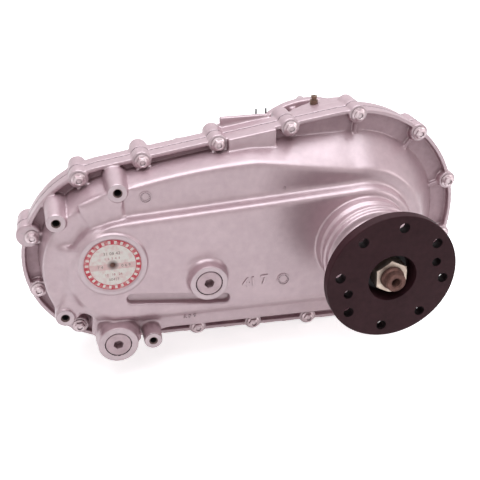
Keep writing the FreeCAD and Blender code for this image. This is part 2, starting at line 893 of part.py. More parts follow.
def make_rear_case():
    solids = joint_plate(trough_y, split_y, seat_y)
    solids.append(joint_lip())
    body = body_stage(trough_y + 1.0, shoulder_y, 0.0)
    first = face_wire(face_right_radius, face_left_axis, face_left_radius, face_low, shoulder_y + 1.0)
    upper_left = (face_left_axis[0] + face_top_shift_x, face_left_axis[1] + face_top_shift_z)
    second = face_wire(face_right_radius - face_draft, upper_left, face_left_radius - face_left_draft,
                       face_low - face_low_draft, face_y)
    body = body.fuse(Part.makeLoft([first, second], True, True))
    solids.append(body.cut(corner_pocket(0.0, face_y - 1.0, trough_y)))
    solids.append(rear_output_boss())
    solids.append(label_boss())
    solids.append(flange_pad())
    solids += left_webs()
    solids += bolt_ribs()
    for x, z, back in tapped_bosses:
        solids.append(turned((x, z), [(output_y + back, tapped_boss_radius),
                                      (trough_y + 1.0, tapped_boss_radius + tapped_boss_draft)]))
    fill_x, fill_z, fill_back = fill_place
    fill_profile = [(shoulder_y, plug_boss_radius + plug_boss_flare),
                    (face_y, plug_boss_radius + plug_boss_waist),
                    (face_y - plug_boss_flare, plug_boss_radius),
                    (output_y + fill_back, plug_boss_radius - plug_boss_rim)]
    solids.append(turned((fill_x, fill_z), fill_profile))
    drain_x, drain_z = drain_place[:2]
    drain_face = output_y + drain_place[2]
    drain_profile = [(trough_y, drain_step_radius), (drain_face + drain_step_back, drain_step_radius - 1.0)]
    drain_profile += [(drain_face + drain_step_back - drain_step_fall, drain_boss_radius),
                      (drain_face, drain_boss_radius - plug_boss_rim)]
    solids.append(turned((drain_x, drain_z), drain_profile))
    between = ((drain_x + tapped_bosses[3][0]) / 2.0 + drain_web_shift_x, drain_z + drain_web_shift_z)
    solids.append(rod(between, output_y + drain_web_back, trough_y + 1.0, drain_web_radius))
    inner_boss = rod(front_axis, face_y + wall, tail_boss_y, needle_radius + tail_boss_wall)
    outside = fused(solids)
    inside = body_stage(split_y + 1.0, shoulder_y + wall, wall)
    hollow = [inside.cut(corner_pocket(wall, shoulder_y, split_y + 2.0))]
    hollow.append(belt(main_axis, face_hollow_radius, front_axis, face_hollow_left_radius, face_y + wall,
                       shoulder_y + wall + 1.0))
    bore = [(face_y + wall + 1.0, pump_radius + seat_gap), (pump_rear_y, pump_radius + seat_gap)]
    bore += [(pump_rear_y, big_bearing_radius + seat_gap), (bearing_rear_y, big_bearing_radius + seat_gap)]
    bore += [(bearing_rear_y, output_seal_radius + seat_gap),
             (output_y + nose_back - 1.0, output_seal_radius + seat_gap)]
    hollow.append(turned(main_axis, bore))
    groove_top = bearing_front_y + snap_ring_thickness + snap_ring_gap
    hollow.append(rod(main_axis, bearing_front_y, groove_top, big_bearing_radius + snap_ring_depth))
    for place_of_bolt in bolt_places():
        hollow.append(rod(place_of_bolt, seat_y - 1.0, split_y + 1.0, bolt_radius + bolt_hole_gap))
    for place_of_dowel in dowel_places():
        hollow.append(rod(place_of_dowel, split_y - dowel_length / 2.0, split_y + 1.0,
                          dowel_radius + seat_gap))
    for x, z, back in tapped_bosses:
        boss_face = output_y + back
        hollow.append(turned((x, z), [(boss_face - 1.0, tapped_hole_radius + countersink + 1.0),
                                      (boss_face + countersink, tapped_hole_radius),
                                      (boss_face + tapped_hole_depth, tapped_hole_radius)]))
    hollow += plug_cavity(fill_place)
    hollow += plug_cavity(drain_place)
    hollow.append(groove())
    label_y = face_y - label_boss_proud
    hollow.append(rod(front_axis, label_y - 1.0, label_y + label_recess_depth, label_recess_radius))
    shell = outside.cut(Part.makeCompound(hollow))
    shell = shell.fuse(inner_boss.common(body_stage(split_y, shoulder_y - 10.0, wall + 0.5).fuse(inner_boss)))
    shell = shell.cut(rod(front_axis, face_y + wall - 1.0, split_y, needle_radius + seat_gap))
    return shell.removeSplitter()


# front half casing
def pocket(inset, y_back, y_front):
    return belt(main_axis, bowl_radius - inset, (pocket_x, pocket_z), pocket_radius - inset, y_back, y_front)


def front_ribs():
    ribs = []
    corners = [(front_floor_y - 2.0, front_fin_inner), (front_floor_y - 2.0, front_fin_outer),
               (front_floor_y + 2.0, front_fin_outer), (front_nose_y - rib_thickness, front_fin_inner)]
    points = [FreeCAD.Vector(shaft_offset_x, y, shaft_offset_z + reach) for y, reach in corners]
    profile = Part.Face(Part.makePolygon(points + [points[0]]))
    fin = profile.extrude(FreeCAD.Vector(rib_thickness, 0, 0))
    fin.translate(FreeCAD.Vector(-rib_thickness / 2.0, 0, 0))
    ribs += around(fin, front_fin_count, front_axis)
    low = front_floor_y
    high = -adapter_thickness
    gusset = block(bowl_gusset_inner, adapter_radius - wall, low, high, -rib_thickness / 2.0,
                   rib_thickness / 2.0)
    gusset.rotate(FreeCAD.Vector(0, 0, 0), FreeCAD.Vector(0, -1, 0), bowl_gusset_angle)
    ribs += around(gusset, bowl_gusset_count)
    for z in front_web_heights:
        corners = [(front_web_left_x, low - 2.0), (front_web_right_x, low - 2.0),
                   (front_web_right_x, front_web_top_y), (front_web_slope_x, front_web_top_y),
                   (front_web_left_x, low + front_web_end)]
        points = [FreeCAD.Vector(x, y, z) for x, y in corners]
        web = Part.Face(Part.makePolygon(points + [points[0]]))
        ribs.append(web.extrude(FreeCAD.Vector(0, 0, rib_thickness)))
    return ribs


def make_front_case():
    solids = joint_plate(front_split_y, front_foot_y, front_foot_y + front_boss_under)
    foot = body_wire(foot_right_radius, foot_left_radius, foot_knee_height, foot_low, foot_bow,
                     front_foot_y - 1.0)
    floor = body_wire(foot_right_radius - front_draft, foot_left_radius - front_draft,
                      foot_knee_height - front_draft,
                      foot_low - front_draft, foot_bow, front_floor_y)
    solids.append(Part.makeLoft([foot, floor], True, True))
    solids.append(pocket(0.0, front_floor_y - 2.0, pocket_front_y + wall))
    housing = [(front_floor_y, ring_gear_radius + gear_housing_flare),
               (carrier_front_y - 3.0, ring_gear_radius + gear_housing_wall)]
    housing += [(carrier_front_y + 3.0, input_bearing_radius + input_housing_flare),
                (input_housing_y, input_bearing_radius + input_housing_wall)]
    solids.append(turned(main_axis, housing))
    adapter = [(-adapter_thickness, adapter_radius), (-adapter_edge, adapter_radius),
               (0.0, adapter_radius - adapter_edge)]
    solids.append(turned(main_axis, adapter))
    output = [(front_floor_y - 2.0, front_boss_foot_radius), (front_bearing_y - 4.0, front_boss_waist_radius),
              (front_bearing_y - 2.0, front_boss_shoulder_radius)]
    output += [(front_nose_y - back, radius) for back, radius in front_boss_steps]
    solids.append(turned(front_axis, output))
    solids += front_ribs()
    wall_y = front_foot_y - 1.0
    solids.append(block(switch_wall_low_x, switch_wall_high_x, wall_y, wall_y + switch_wall_thickness,
                        top_root_z, switch_wall_z))
    solids.append(block(switch_wall_low_x, switch_wall_high_x, wall_y, wall_y + switch_shelf_depth,
                        top_root_z, switch_shelf_z))
    hump_box = block(hump_low_x, hump_high_x, wall_y, wall_y + hump_depth, top_root_z, hump_radius + 1.0)
    solids.append(rod(main_axis, wall_y, wall_y + hump_depth, hump_radius).common(hump_box))
    roof_z = sector_z + sector_thickness + sector_headroom
    solids.append(post(selector_x, selector_y, pocket_z, roof_z + wall, sector_housing_radius))
    solids.append(post(selector_x, selector_y, roof_z, selector_boss_z, selector_radius + selector_boss_wall))
    solids.append(rod((rail_x, rail_z), pocket_front_y, pocket_front_y + rail_boss_reach, fork_hub_radius))
    solids.append(detent_rod(detent_x, selector_x - selector_radius, detent_radius + detent_boss_wall))
    outside = fused(solids)
    hollow = []
    foot = body_wire(foot_right_radius - wall, foot_left_radius - wall, foot_knee_height - wall,
                     foot_low - wall,
                     foot_bow, front_split_y - 1.0)
    inset = wall + front_draft
    floor = body_wire(foot_right_radius - inset, foot_left_radius - inset, foot_knee_height - inset,
                      foot_low - inset,
                      foot_bow, cavity_front_y)
    hollow.append(Part.makeLoft([foot, floor], True, True))
    hollow.append(pocket(wall + 1.0, cavity_front_y - 1.0, pocket_front_y))
    gear_seat_y = gear_front_y + ring_gear_space
    seat = [(cavity_front_y - 1.0, ring_gear_radius + seat_gap), (gear_seat_y, ring_gear_radius + seat_gap)]
    seat += [(gear_seat_y, carrier_radius + ring_gear_space),
             (carrier_front_y + 1.0, carrier_radius + ring_gear_space)]
    seat += [(carrier_front_y + 1.0, input_bearing_radius + seat_gap),
             (input_bearing_y, input_bearing_radius + seat_gap)]
    seat += [(input_bearing_y, input_seal_radius + seat_gap), (1.0, input_seal_radius + seat_gap)]
    hollow.append(turned(main_axis, seat))
    ring_width = snap_ring_thickness + snap_ring_gap
    ring_top = input_bearing_radius + snap_ring_depth
    hollow.append(rod(main_axis, input_back_y - ring_width, input_back_y, ring_top))
    bore = [(cavity_front_y - 1.0, big_bearing_radius + seat_gap),
            (front_bearing_y + big_bearing_width, big_bearing_radius + seat_gap)]
    bore += [(front_bearing_y + big_bearing_width, front_seal_radius + seat_gap),
             (front_nose_y + 1.0, front_seal_radius + seat_gap)]
    hollow.append(turned(front_axis, bore))
    hollow.append(rod(front_axis, front_bearing_y - ring_width, front_bearing_y,
                      big_bearing_radius + snap_ring_depth))
    for place_of_bolt in bolt_places():
        hollow.append(rod(place_of_bolt, front_split_y - 1.0, seat_y + bolt_length + bolt_hole_spare,
                          bolt_radius + seat_gap))
    dowel_end_y = split_y + dowel_length / 2.0 + dowel_hole_spare
    for place_of_dowel in dowel_places():
        hollow.append(rod(place_of_dowel, front_split_y - 1.0, dowel_end_y, dowel_radius + seat_gap))
    for place_of_stud in stud_places():
        hollow.append(rod(place_of_stud, stud_hole_end - adapter_thickness, 1.0,
                          stud_radius - stud_seat_step + seat_gap))
        # a wider mouth, so that a plate with the face's own holes passes over the collars
        hollow.append(rod(place_of_stud, -stud_mouth_depth, 1.0, stud_radius + stud_mouth_gap))
    hollow.append(post(selector_x, selector_y, pocket_z, roof_z, sector_housing_radius - wall))
    hollow.append(post(selector_x, selector_y, roof_z - 1.0, selector_boss_z + 1.0,
                       selector_radius + running_gap))
    hollow.append(post(selector_x, selector_y, selector_boss_z - seal_recess, selector_boss_z + 1.0,
                       selector_radius + selector_seal_wall))
    hollow.append(rod((rail_x, rail_z), pocket_front_y - 1.0, pocket_front_y + rail_hole_sink,
                      rail_radius + seat_gap))
    hollow.append(detent_rod(detent_x + 5.0, selector_x, detent_radius + running_gap))
    hollow.append(detent_rod(detent_x - 1.0, detent_x + detent_plug_reach + 0.5,
                             detent_radius + detent_plug_step))
    hollow.append(post(switch_x, switch_y, switch_shelf_z - switch_thread_length - switch_hole_spare,
                       switch_shelf_z + 1.0, switch_thread_radius + seat_gap))
    hollow.append(post(switch_x, switch_y, switch_shelf_z, switch_wall_z + 1.0,
                       switch_thread_radius + switch_head_step + body_gap))
    hollow.append(post(vent_x, switch_y, hump_radius - vent_sink - vent_hole_spare, hump_radius + 1.0,
                       vent_radius + seat_gap))
    hollow.append(post(vent_x, switch_y, hump_radius - vent_collar_sink, hump_radius + 1.0,
                       vent_radius + vent_collar_step + body_gap))
    return outside.cut(Part.makeCompound(hollow)).removeSplitter()


def make_gasket():
    solids = joint_plate(split_y, front_split_y, front_split_y)
    outside = fused(solids)
    inset = wall - 1.0
    hole = body_wire(foot_right_radius - inset, foot_left_radius - inset, foot_knee_height - inset,
                     foot_low - inset,
                     foot_bow, split_y - 1.0)
    cuts = [prism(hole, split_y - 1.0, front_split_y + 1.0)]
    for place_of_bolt in bolt_places():
        cuts.append(rod(place_of_bolt, split_y - 1.0, front_split_y + 1.0, bolt_radius + bolt_hole_gap))
    for place_of_dowel in dowel_places():
        cuts.append(rod(place_of_dowel, split_y - 1.0, front_split_y + 1.0, dowel_radius + bolt_hole_gap))
    return outside.cut(Part.makeCompound(cuts)).removeSplitter()


# fasteners and plugs
def make_case_bolt(centre):
    top_y = seat_y - bolt_flange_thickness
    head = prism(hexagon(centre, bolt_head_across_flats, 0.0, seat_y - bolt_head_height),
                 seat_y - bolt_head_height, seat_y)
    corner = bolt_head_across_flats / math.sqrt(3.0)
    head_y = seat_y - bolt_head_height
    cone = turned(centre,
                  [(head_y, corner - bolt_head_chamfer), (head_y + 1.0, corner), (seat_y, corner)])
    skirt = turned(centre,
                   [(top_y - bolt_skirt_lip, corner - 0.4), (top_y + bolt_skirt_lip, bolt_flange_radius),
                    (seat_y, bolt_flange_radius)])
    shank = rod(centre, seat_y - 0.5, seat_y + bolt_length, bolt_radius)
    dish = rod(centre, head_y - 1.0, head_y + bolt_dish_depth, bolt_dish_radius)
    return head.common(cone).cut(dish).fuse(skirt).fuse(shank).removeSplitter()


def make_plug(place_of_plug):
    x, z, back = place_of_plug
    face = output_y + back + plug_sink
    end = face + plug_length
    body = turned((x, z),
                  [(face, plug_radius - plug_chamfer), (face + plug_chamfer, plug_radius),
                   (end - plug_end_chamfer, plug_radius), (end, plug_radius - plug_end_chamfer)])
    socket = prism(hexagon((x, z), plug_hex_across_flats, plug_socket_angle, face - 1.0), face - 1.0,
                   face + plug_hex_depth)
    return body.cut(socket)


def make_studs():
    # the end that sits in the case is thinner than the thread above the face
    studs = []
    low = stud_end - adapter_thickness
    seat_radius = stud_radius - stud_seat_step
    for centre in stud_places():
        studs.append(turned(centre,
                            [(low, seat_radius), (0.0, seat_radius), (0.0, stud_radius),
                             (stud_reach - stud_chamfer, stud_radius),
                             (stud_reach, stud_radius - stud_chamfer)]))
    return Part.makeCompound(studs)


def make_dowels():
    half = dowel_length / 2.0
    return Part.makeCompound([rod(centre, split_y - half, split_y + half,
                                  dowel_radius) for centre in dowel_places()])


# bearings, seals and rings
def ball_bearing(centre, y_back, width, inner, outer, count):
    middle = (inner + outer) / 2.0
    ball = 0.3 * (outer - inner)
    y_middle = y_back + width / 2.0
    torus = Part.makeTorus(middle, ball + running_gap, place(centre, y_middle), FreeCAD.Vector(0, 1, 0))
    outer_race = tube(centre, y_back, y_back + width, outer, middle + 0.5 * ball).cut(torus)
    inner_race = tube(centre, y_back, y_back + width, middle - 0.5 * ball, inner).cut(torus)
    solids = [outer_race]
    for index in range(count):
        spot = polar(centre, middle, index * 360.0 / count)
        solids.append(Part.makeSphere(ball, place(spot, y_middle)))
    return Part.makeCompound(solids), inner_race


def needle_bearing(centre, y_back, y_front, inner, outer, roller, count):
    cup = tube(centre, y_back, y_front, outer, inner + 2.0 * roller + 2.0 * running_gap)
    solids = [cup]
    for index in range(count):
        spot = polar(centre, inner + running_gap + roller, index * 360.0 / count)
        solids.append(rod(spot, y_back + 1.0, y_front - 1.0, roller))
    return Part.makeCompound(solids)


def oil_seal(centre, y_back, outer, inner):
    y_front = y_back + seal_width
    case = [(y_back, outer), (y_front, outer), (y_front, outer - seal_wall),
            (y_back + seal_face, outer - seal_wall), (y_back + seal_face, inner + seal_lip)]
    case += [(y_back + seal_lip_depth, inner + seal_lip), (y_back + seal_lip_depth, inner + running_gap),
             (y_back, inner + running_gap)]
    corners = [FreeCAD.Vector(centre[0] + radius, y, centre[1]) for y, radius in case]
    face = Part.Face(Part.makePolygon(corners + [corners[0]]))
    return face.revolve(place(centre, 0), FreeCAD.Vector(0, 1, 0), 360)


def snap_ring(centre, y_back, outer):
    ring = tube(centre, y_back, y_back + snap_ring_thickness, outer + snap_ring_depth - snap_ring_gap,
                outer - snap_ring_reach)
    half = snap_ring_opening / 2.0
    gap = block(centre[0] - half, centre[0] + half, y_back - 1.0, y_back + snap_ring_thickness + 1.0,
                centre[1] - outer - 2.0 * snap_ring_reach, centre[1])
    return ring.cut(gap)


# gears
def involute(angle):
    return math.tan(angle) - angle


def gear_wire(centre, teeth, root, tip, widen, turn, y):
    pitch = gear_module * teeth / 2.0
    pressure = math.radians(pressure_angle)
    base = pitch * math.cos(pressure)
    half_pitch = math.pi / 2.0 / teeth + widen / 2.0 / pitch + involute(pressure)
    low = max(base, root) + 0.001
    radii = [low + share * (tip - low) for share in (0.0, 0.35, 0.7, 1.0)]
    halves = [half_pitch - involute(math.acos(base / radius)) for radius in radii]
    points = []
    for index in range(teeth):
        middle = math.radians(turn) + 2.0 * math.pi * index / teeth
        flank = [(root, -halves[0])] + [(radius, -half) for radius, half in zip(radii, halves)]
        flank += [(radius, -half) for radius, half in reversed(flank)]
        if root >= base:
            flank = flank[1:-1]
        for radius, offset in flank:
            points.append(place(polar(centre, radius, math.degrees(middle + offset)), y))
    return Part.makePolygon(points + [points[0]])


def outer_gear(centre, teeth, y_back, y_front, turn):
    pitch = gear_module * teeth / 2.0
    wire = gear_wire(centre, teeth, pitch - 1.25 * gear_module, pitch + gear_module, -gear_backlash, turn,
                     y_back)
    return prism(wire, y_back, y_front)


def make_ring_gear():
    pitch = gear_module * ring_teeth / 2.0
    blank = rod(main_axis, gear_back_y, gear_front_y, ring_gear_radius)
    half_space = 180.0 / ring_teeth
    wire = gear_wire(main_axis, ring_teeth, pitch - ring_addendum * gear_module, ring_bottom, gear_backlash,
                     ring_turn + half_space, gear_back_y - 1.0)
    return blank.cut(prism(wire, gear_back_y - 1.0, gear_front_y + 1.0))


def planet_centre(index):
    return polar(main_axis, gear_module * (sun_teeth + planet_teeth) / 2.0, index * 360.0 / planet_count)


def make_planet(index):
    centre = planet_centre(index)
    gear = outer_gear(centre, planet_teeth, gear_back_y, gear_front_y, 0.0)
    return gear.cut(rod(centre, gear_back_y - 1.0, gear_front_y + 1.0, planet_pin_radius + running_gap))


def make_planet_pins():
    pins = [rod(planet_centre(index), carrier_back_y, carrier_front_y,
                planet_pin_radius) for index in range(planet_count)]
    return Part.makeCompound(pins)


def make_carrier():
    front = tube(main_axis, carrier_front_y - carrier_plate, carrier_front_y, carrier_radius,
                 input_radius + running_gap)
    back = tube(main_axis, carrier_back_y, carrier_back_y + carrier_plate, carrier_radius,
                range_dog_radius + carrier_bore_step)
    solids = [front, back]
    for index in range(planet_count):
        angle = (index + 0.5) * 360.0 / planet_count
        solids.append(rod(polar(main_axis, carrier_post_circle, angle), carrier_back_y, carrier_front_y,
                          carrier_post_radius))
    carrier = fused(solids)
    holes = [rod(planet_centre(index), carrier_back_y - 1.0, carrier_front_y + 1.0,
                 planet_pin_radius + seat_gap)
             for index in range(planet_count)]
    return carrier.cut(Part.makeCompound(holes)).removeSplitter()


def make_input_shaft():
    shaft = turned(main_axis,
                   [(dog_back_y, range_dog_radius), (gear_front_y + sun_space, range_dog_radius),
                    (gear_front_y + sun_space, input_radius), (input_front_y - 1.0, input_radius),
                    (input_front_y, input_radius - 1.0)])
    shaft = shaft.fuse(outer_gear(main_axis, sun_teeth, gear_back_y, gear_front_y, 0.0))
    spline_back = input_front_y - input_spline_length
    cuts = [rod(main_axis, input_front_y - input_pilot_length, input_front_y + 1.0, input_pilot_radius)]
    cuts.append(rod(main_axis, spline_back, input_front_y, input_spline_radius))
    cuts.append(rod(main_axis, dog_back_y - 1.0, gear_back_y + 1.0, pilot_bearing_radius + seat_gap))
    tooth = block(0.0, input_spline_radius + spline_depth, spline_back, input_front_y - input_pilot_length,
                  -1.0, 1.0)
    cuts += around(tooth, spline_teeth)
    return shaft.cut(Part.makeCompound(cuts)).removeSplitter()


# rotating parts on the main shaft
def make_mainshaft():
    stub_y = output_y - stub_proud
    profile = [(stub_y, stub_nose_radius - stub_chamfer), (stub_y + stub_chamfer, stub_nose_radius),
               (output_y - stub_step, stub_nose_radius)]
    profile += [(output_y - 1.0, stub_radius), (shaft_step_y, stub_radius),
                (shaft_step_y, flange_seat_radius)]
    profile += [(bearing_rear_y, flange_seat_radius), (bearing_rear_y, rear_journal_radius)]
    profile += [(bearing_front_y, rear_journal_radius), (bearing_front_y, main_radius),
                (mode_hub_back_y, main_radius)]
    profile += [(mode_hub_back_y, hub_seat_radius), (hub_front_y, hub_seat_radius),
                (hub_front_y, pilot_radius)]
    profile += [(gear_back_y - 1.0, pilot_radius), (gear_back_y, pilot_radius - 1.0)]
    shaft = turned(main_axis, profile)
    drill_end_y = stub_y + centre_drill_depth
    drill_end_radius = centre_drill_radius - centre_drill_taper
    drill = turned(main_axis,
                   [(stub_y - 0.1, centre_drill_radius + centre_drill_flare),
                    (stub_y + 1.0, centre_drill_radius - centre_drill_taper / 2.0),
                    (drill_end_y, drill_end_radius), (drill_end_y + 2.0, 0.5)])
    return shaft.cut(drill)


def make_output_flange():
    back = output_y + output_flange_thickness
    hub_front = bearing_rear_y - body_gap
    hub_step_y = output_y + nose_back - flange_fillet
    profile = [(output_y, output_flange_radius - flange_edge),
               (output_y + flange_edge, output_flange_radius), (back - flange_edge, output_flange_radius)]
    profile += [(back, output_flange_radius - flange_edge),
                (back, output_hub_shoulder_radius + flange_fillet),
                (back + flange_fillet, output_hub_shoulder_radius)]
    profile += [(hub_step_y, output_hub_shoulder_radius), (hub_step_y, output_hub_radius)]
    profile += [(hub_front, output_hub_radius)]
    flange = turned(main_axis, profile)
    cuts = [rod(main_axis, output_y - 1.0, output_y + recess_depth, recess_radius)]
    cuts.append(rod(main_axis, output_y, hub_front + 1.0, flange_seat_radius + seat_gap))
    for index in range(output_hole_count):
        centre = polar(main_axis, output_hole_circle_diameter / 2.0,
                       output_hole_start + index * 360.0 / output_hole_count)
        cuts.append(rod(centre, output_y - 1.0, back + 1.0, output_hole_radius))
    for index in range(puller_hole_count):
        centre = polar(main_axis, puller_circle_diameter / 2.0,
                       puller_angle + index * 360.0 / puller_hole_count)
        cuts.append(rod(centre, output_y - 1.0, back + 1.0, puller_hole_radius))
    return flange.cut(Part.makeCompound(cuts)).removeSplitter()


def flange_nut(centre, y_back, height, across, bore, turn):
    nut = prism(hexagon(centre, across, turn, y_back), y_back, y_back + height)
    corner = across / math.sqrt(3.0)
    cone = turned(centre,
                  [(y_back, corner - nut_corner_cut), (y_back + nut_chamfer, corner + 0.1),
                   (y_back + height, corner + 0.1)])
    return nut.common(cone).cut(rod(centre, y_back - 1.0, y_back + height + 1.0, bore + seat_gap))


def make_collar(y_back, dog_radius):
    outer = dog_radius + collar_wall
    collar = tube(main_axis, y_back, y_back + collar_length, outer, dog_radius + running_gap)
    middle = y_back + collar_length / 2.0
    half = fork_thickness / 2.0 + fork_side_gap
    return collar.cut(tube(main_axis, middle - half, middle + half, outer + 1.0, outer - collar_groove))


def make_sprocket(centre, bore, hub_radius):
    root = sprocket_tip - sprocket_tooth_height
    points = []
    for index in range(sprocket_teeth):
        step = 360.0 / sprocket_teeth
        middle = index * step
        for radius, share in ((root, -tooth_root_share), (sprocket_tip, -tooth_tip_share),
                              (sprocket_tip, tooth_tip_share), (root, tooth_root_share)):
            points.append(place(polar(centre, radius, middle + share * step), chain_rear_y))
    wheel = prism(Part.makePolygon(points + [points[0]]), chain_rear_y, chain_front_y)
    waist = tube(centre, chain_rear_y + sprocket_row_width, chain_front_y - sprocket_row_width,
                 sprocket_tip + 1.0, sprocket_tip - sprocket_waist_depth)
    wheel = wheel.cut(waist).fuse(rod(centre, chain_rear_y, chain_front_y, hub_radius))
    return wheel.cut(rod(centre, chain_rear_y - 1.0, chain_front_y + 1.0, bore))


def make_drive_sprocket():
    wheel = make_sprocket(main_axis, sprocket_bore, mode_dog_radius)
    dog = tube(main_axis, chain_front_y - 1.0, mode_hub_back_y - 1.5, mode_dog_radius, sprocket_bore)
    return wheel.fuse(dog).removeSplitter()


# front output
def make_front_output_shaft():
    shoulder = front_shaft_radius + front_shoulder_step
    tail_y = chain_rear_y - front_tail_reach
    profile = [(tail_y, front_tail_radius - 1.0), (tail_y + 1.0, front_tail_radius),
               (chain_rear_y, front_tail_radius)]
    profile += [(chain_rear_y, shoulder), (front_bearing_y, shoulder)]
    profile += [(front_bearing_y, front_shaft_radius),
                (front_bearing_y + big_bearing_width, front_shaft_radius)]
    profile += [(front_bearing_y + big_bearing_width, front_spline_radius),
                (front_seat_y - 1.0, front_spline_radius)]
    profile += [(front_seat_y - 1.0, stub_radius), (front_flange_y + 1.0, stub_radius),
                (front_flange_y + 1.0 + stub_step, stub_radius - stub_step)]
    shaft = turned(front_axis, profile)
    return shaft.fuse(make_sprocket(front_axis, front_tail_radius - 2.0,
                                    shoulder)).removeSplitter()


def make_front_flange():
    face = front_flange_y
    back = face - front_flange_thickness
    hub_back = front_bearing_y + big_bearing_width + body_gap
    rim = front_flange_radius - front_flange_edge
    profile = [(hub_back, front_hub_radius), (back - front_hub_flare, front_hub_radius),
               (back, front_hub_radius + front_hub_flare), (back, rim)]
    profile += [(back + front_flange_edge, front_flange_radius),
                (face - front_flange_edge, front_flange_radius), (face, rim)]
    flange = turned(front_axis, profile)
    cuts = [rod(front_axis, front_seat_y, face + 1.0, front_recess_radius)]
    cuts.append(rod(front_axis, hub_back - 1.0, front_seat_y + 1.0, front_spline_radius + seat_gap))
    for index in range(front_hole_count):
        centre = polar(front_axis, front_hole_circle_diameter / 2.0,
                       front_hole_angle + index * 360.0 / front_hole_count)
        cuts.append(rod(centre, back - 1.0, face + 1.0, front_hole_radius))
    return flange.cut(Part.makeCompound(cuts)).removeSplitter()


def make_chain():
    middle = chain_inner + chain_height / 2.0
    span = math.hypot(shaft_offset_x, shaft_offset_z)
    length = 2.0 * span + 2.0 * math.pi * middle
    count = 2 * int(round(length / chain_pitch / 2.0))
    step = length / count
    slope = math.degrees(math.atan2(-shaft_offset_z, -shaft_offset_x))
    links = []
    for index in range(count):
        travel = index * step
        if travel < span:
            start = polar(front_axis, middle, slope + 90.0)
            centre = polar(start, travel, slope)
            heading = slope
        elif travel < span + math.pi * middle:
            turn = math.degrees((travel - span) / middle)
            centre = polar(main_axis, middle, slope + 90.0 - turn)
            heading = slope - turn
        elif travel < 2.0 * span + math.pi * middle:
            start = polar(main_axis, middle, slope - 90.0)
            centre = polar(start, travel - span - math.pi * middle, slope + 180.0)
            heading = slope + 180.0
        else:
            turn = math.degrees((travel - 2.0 * span - math.pi * middle) / middle)
            centre = polar(front_axis, middle, slope - 90.0 - turn)
            heading = slope + 180.0 - turn
        links.append(chain_link(centre, heading, step))
    return Part.makeCompound(links)


def chain_link(centre, heading, step):
    half = step / 2.0 - link_gap / 2.0
    inner_half = step / 2.0 * chain_inner / (chain_inner + chain_height / 2.0) - link_gap / 2.0
    high = chain_height / 2.0
    outline = [(-half, 0.0), (-half + link_chamfer, high), (half - link_chamfer, high), (half, 0.0),
               (inner_half - link_waist, -high), (link_waist - inner_half, -high)]
    points = []
    for along, across in outline:
        ahead = polar(centre, along, heading)
        points.append(place(polar(ahead, across, heading + 90.0), chain_rear_y))
    return prism(Part.makePolygon(points + [points[0]]), chain_rear_y, chain_front_y)


# shift parts
def make_fork(fork_y, dog_radius):
    inner = dog_radius + collar_wall - collar_groove + fork_ring_gap
    outer = inner + fork_ring_width
    low = fork_y - fork_thickness / 2.0
    high = fork_y + fork_thickness / 2.0
    ring = tube(main_axis, low, high, outer,
                inner).common(block(-outer - 1.0, fork_open_x, low, high, -outer - 1.0, outer + 1.0))
    rail = (rail_x, rail_z)
    root = polar(main_axis, inner + fork_ring_width / 2.0, fork_arm_angle)
    arm = belt(root, fork_arm_radius, rail, fork_arm_end_radius, low, high)
    arm = arm.cut(rod(main_axis, low - 1.0, high + 1.0, inner))
    hub = rod(rail, fork_y - fork_hub_half, fork_y + fork_hub_half, fork_hub_radius)
    return ring.fuse(arm).fuse(hub), rail


def make_range_fork():
    fork, rail = make_fork(range_fork_y, range_dog_radius)
    x_low = rail_x - fork_block_low
    x_high = rail_x + fork_block_high
    top = block(x_low, x_high, range_fork_y - fork_hub_half, range_fork_y + fork_hub_half, rail_z,
                sector_z - fork_block_under)
    slot_half = selector_pin_radius + body_gap
    slot = block(x_low - 1.0, x_high + 1.0, range_fork_y - slot_half, range_fork_y + slot_half,
                 rail_z + rail_radius + 2.0, sector_z)
    fork = fork.fuse(top).cut(slot)
    return fork.cut(rod(rail, range_fork_y - 2.0 * fork_hub_half, range_fork_y + 2.0 * fork_hub_half,
                        rail_radius + running_gap)).removeSplitter()


def make_mode_fork():
    fork, rail = make_fork(mode_fork_y, mode_dog_radius)
    return fork.cut(rod(rail, mode_fork_y - 2.0 * fork_hub_half, mode_fork_y + 2.0 * fork_hub_half,
                        rail_radius + running_gap)).removeSplitter()


def make_selector_shaft():
    shaft = post(selector_x, selector_y, selector_low_z, lever_z, selector_radius)
    stub = post(selector_x, selector_y, lever_z - 1.0, lever_z + selector_stub_length, selector_stub_radius)
    height = sector_z + sector_thickness
    plate = flat_belt((selector_x, selector_y), sector_radius, (rail_x, selector_y), sector_tip_radius,
                      sector_z, height)
    pin = post(rail_x, selector_y, rail_z + rail_radius + 3.0, height, selector_pin_radius)
    return shaft.fuse(stub).fuse(plate).fuse(pin).removeSplitter()


def flat_belt(first, first_radius, second, second_radius, z_low, z_high):
    # a plate with two round ends that lies level, between two heights
    plate = belt((first[0], 0.0), first_radius, (second[0], first[1] - second[1]), second_radius, 0.0,
                 z_high - z_low)
    plate.rotate(FreeCAD.Vector(0, 0, 0), FreeCAD.Vector(1, 0, 0), 90.0)
    plate.translate(FreeCAD.Vector(0, first[1], z_low))
    return plate


def make_shift_lever():
    end = polar((selector_x, selector_y), lever_length, lever_angle)
    top_z = lever_z + lever_thickness
    lever = flat_belt((selector_x, selector_y), lever_width / 2.0, end, lever_width / 2.0 - 1.0, lever_z,
                      top_z)
    lever = lever.cut(post(end[0], end[1], lever_z - 1.0, top_z + 1.0, lever_hole_radius))
    return lever.cut(post(selector_x, selector_y, lever_z - 1.0, top_z + 1.0,
                          selector_stub_radius + seat_gap))


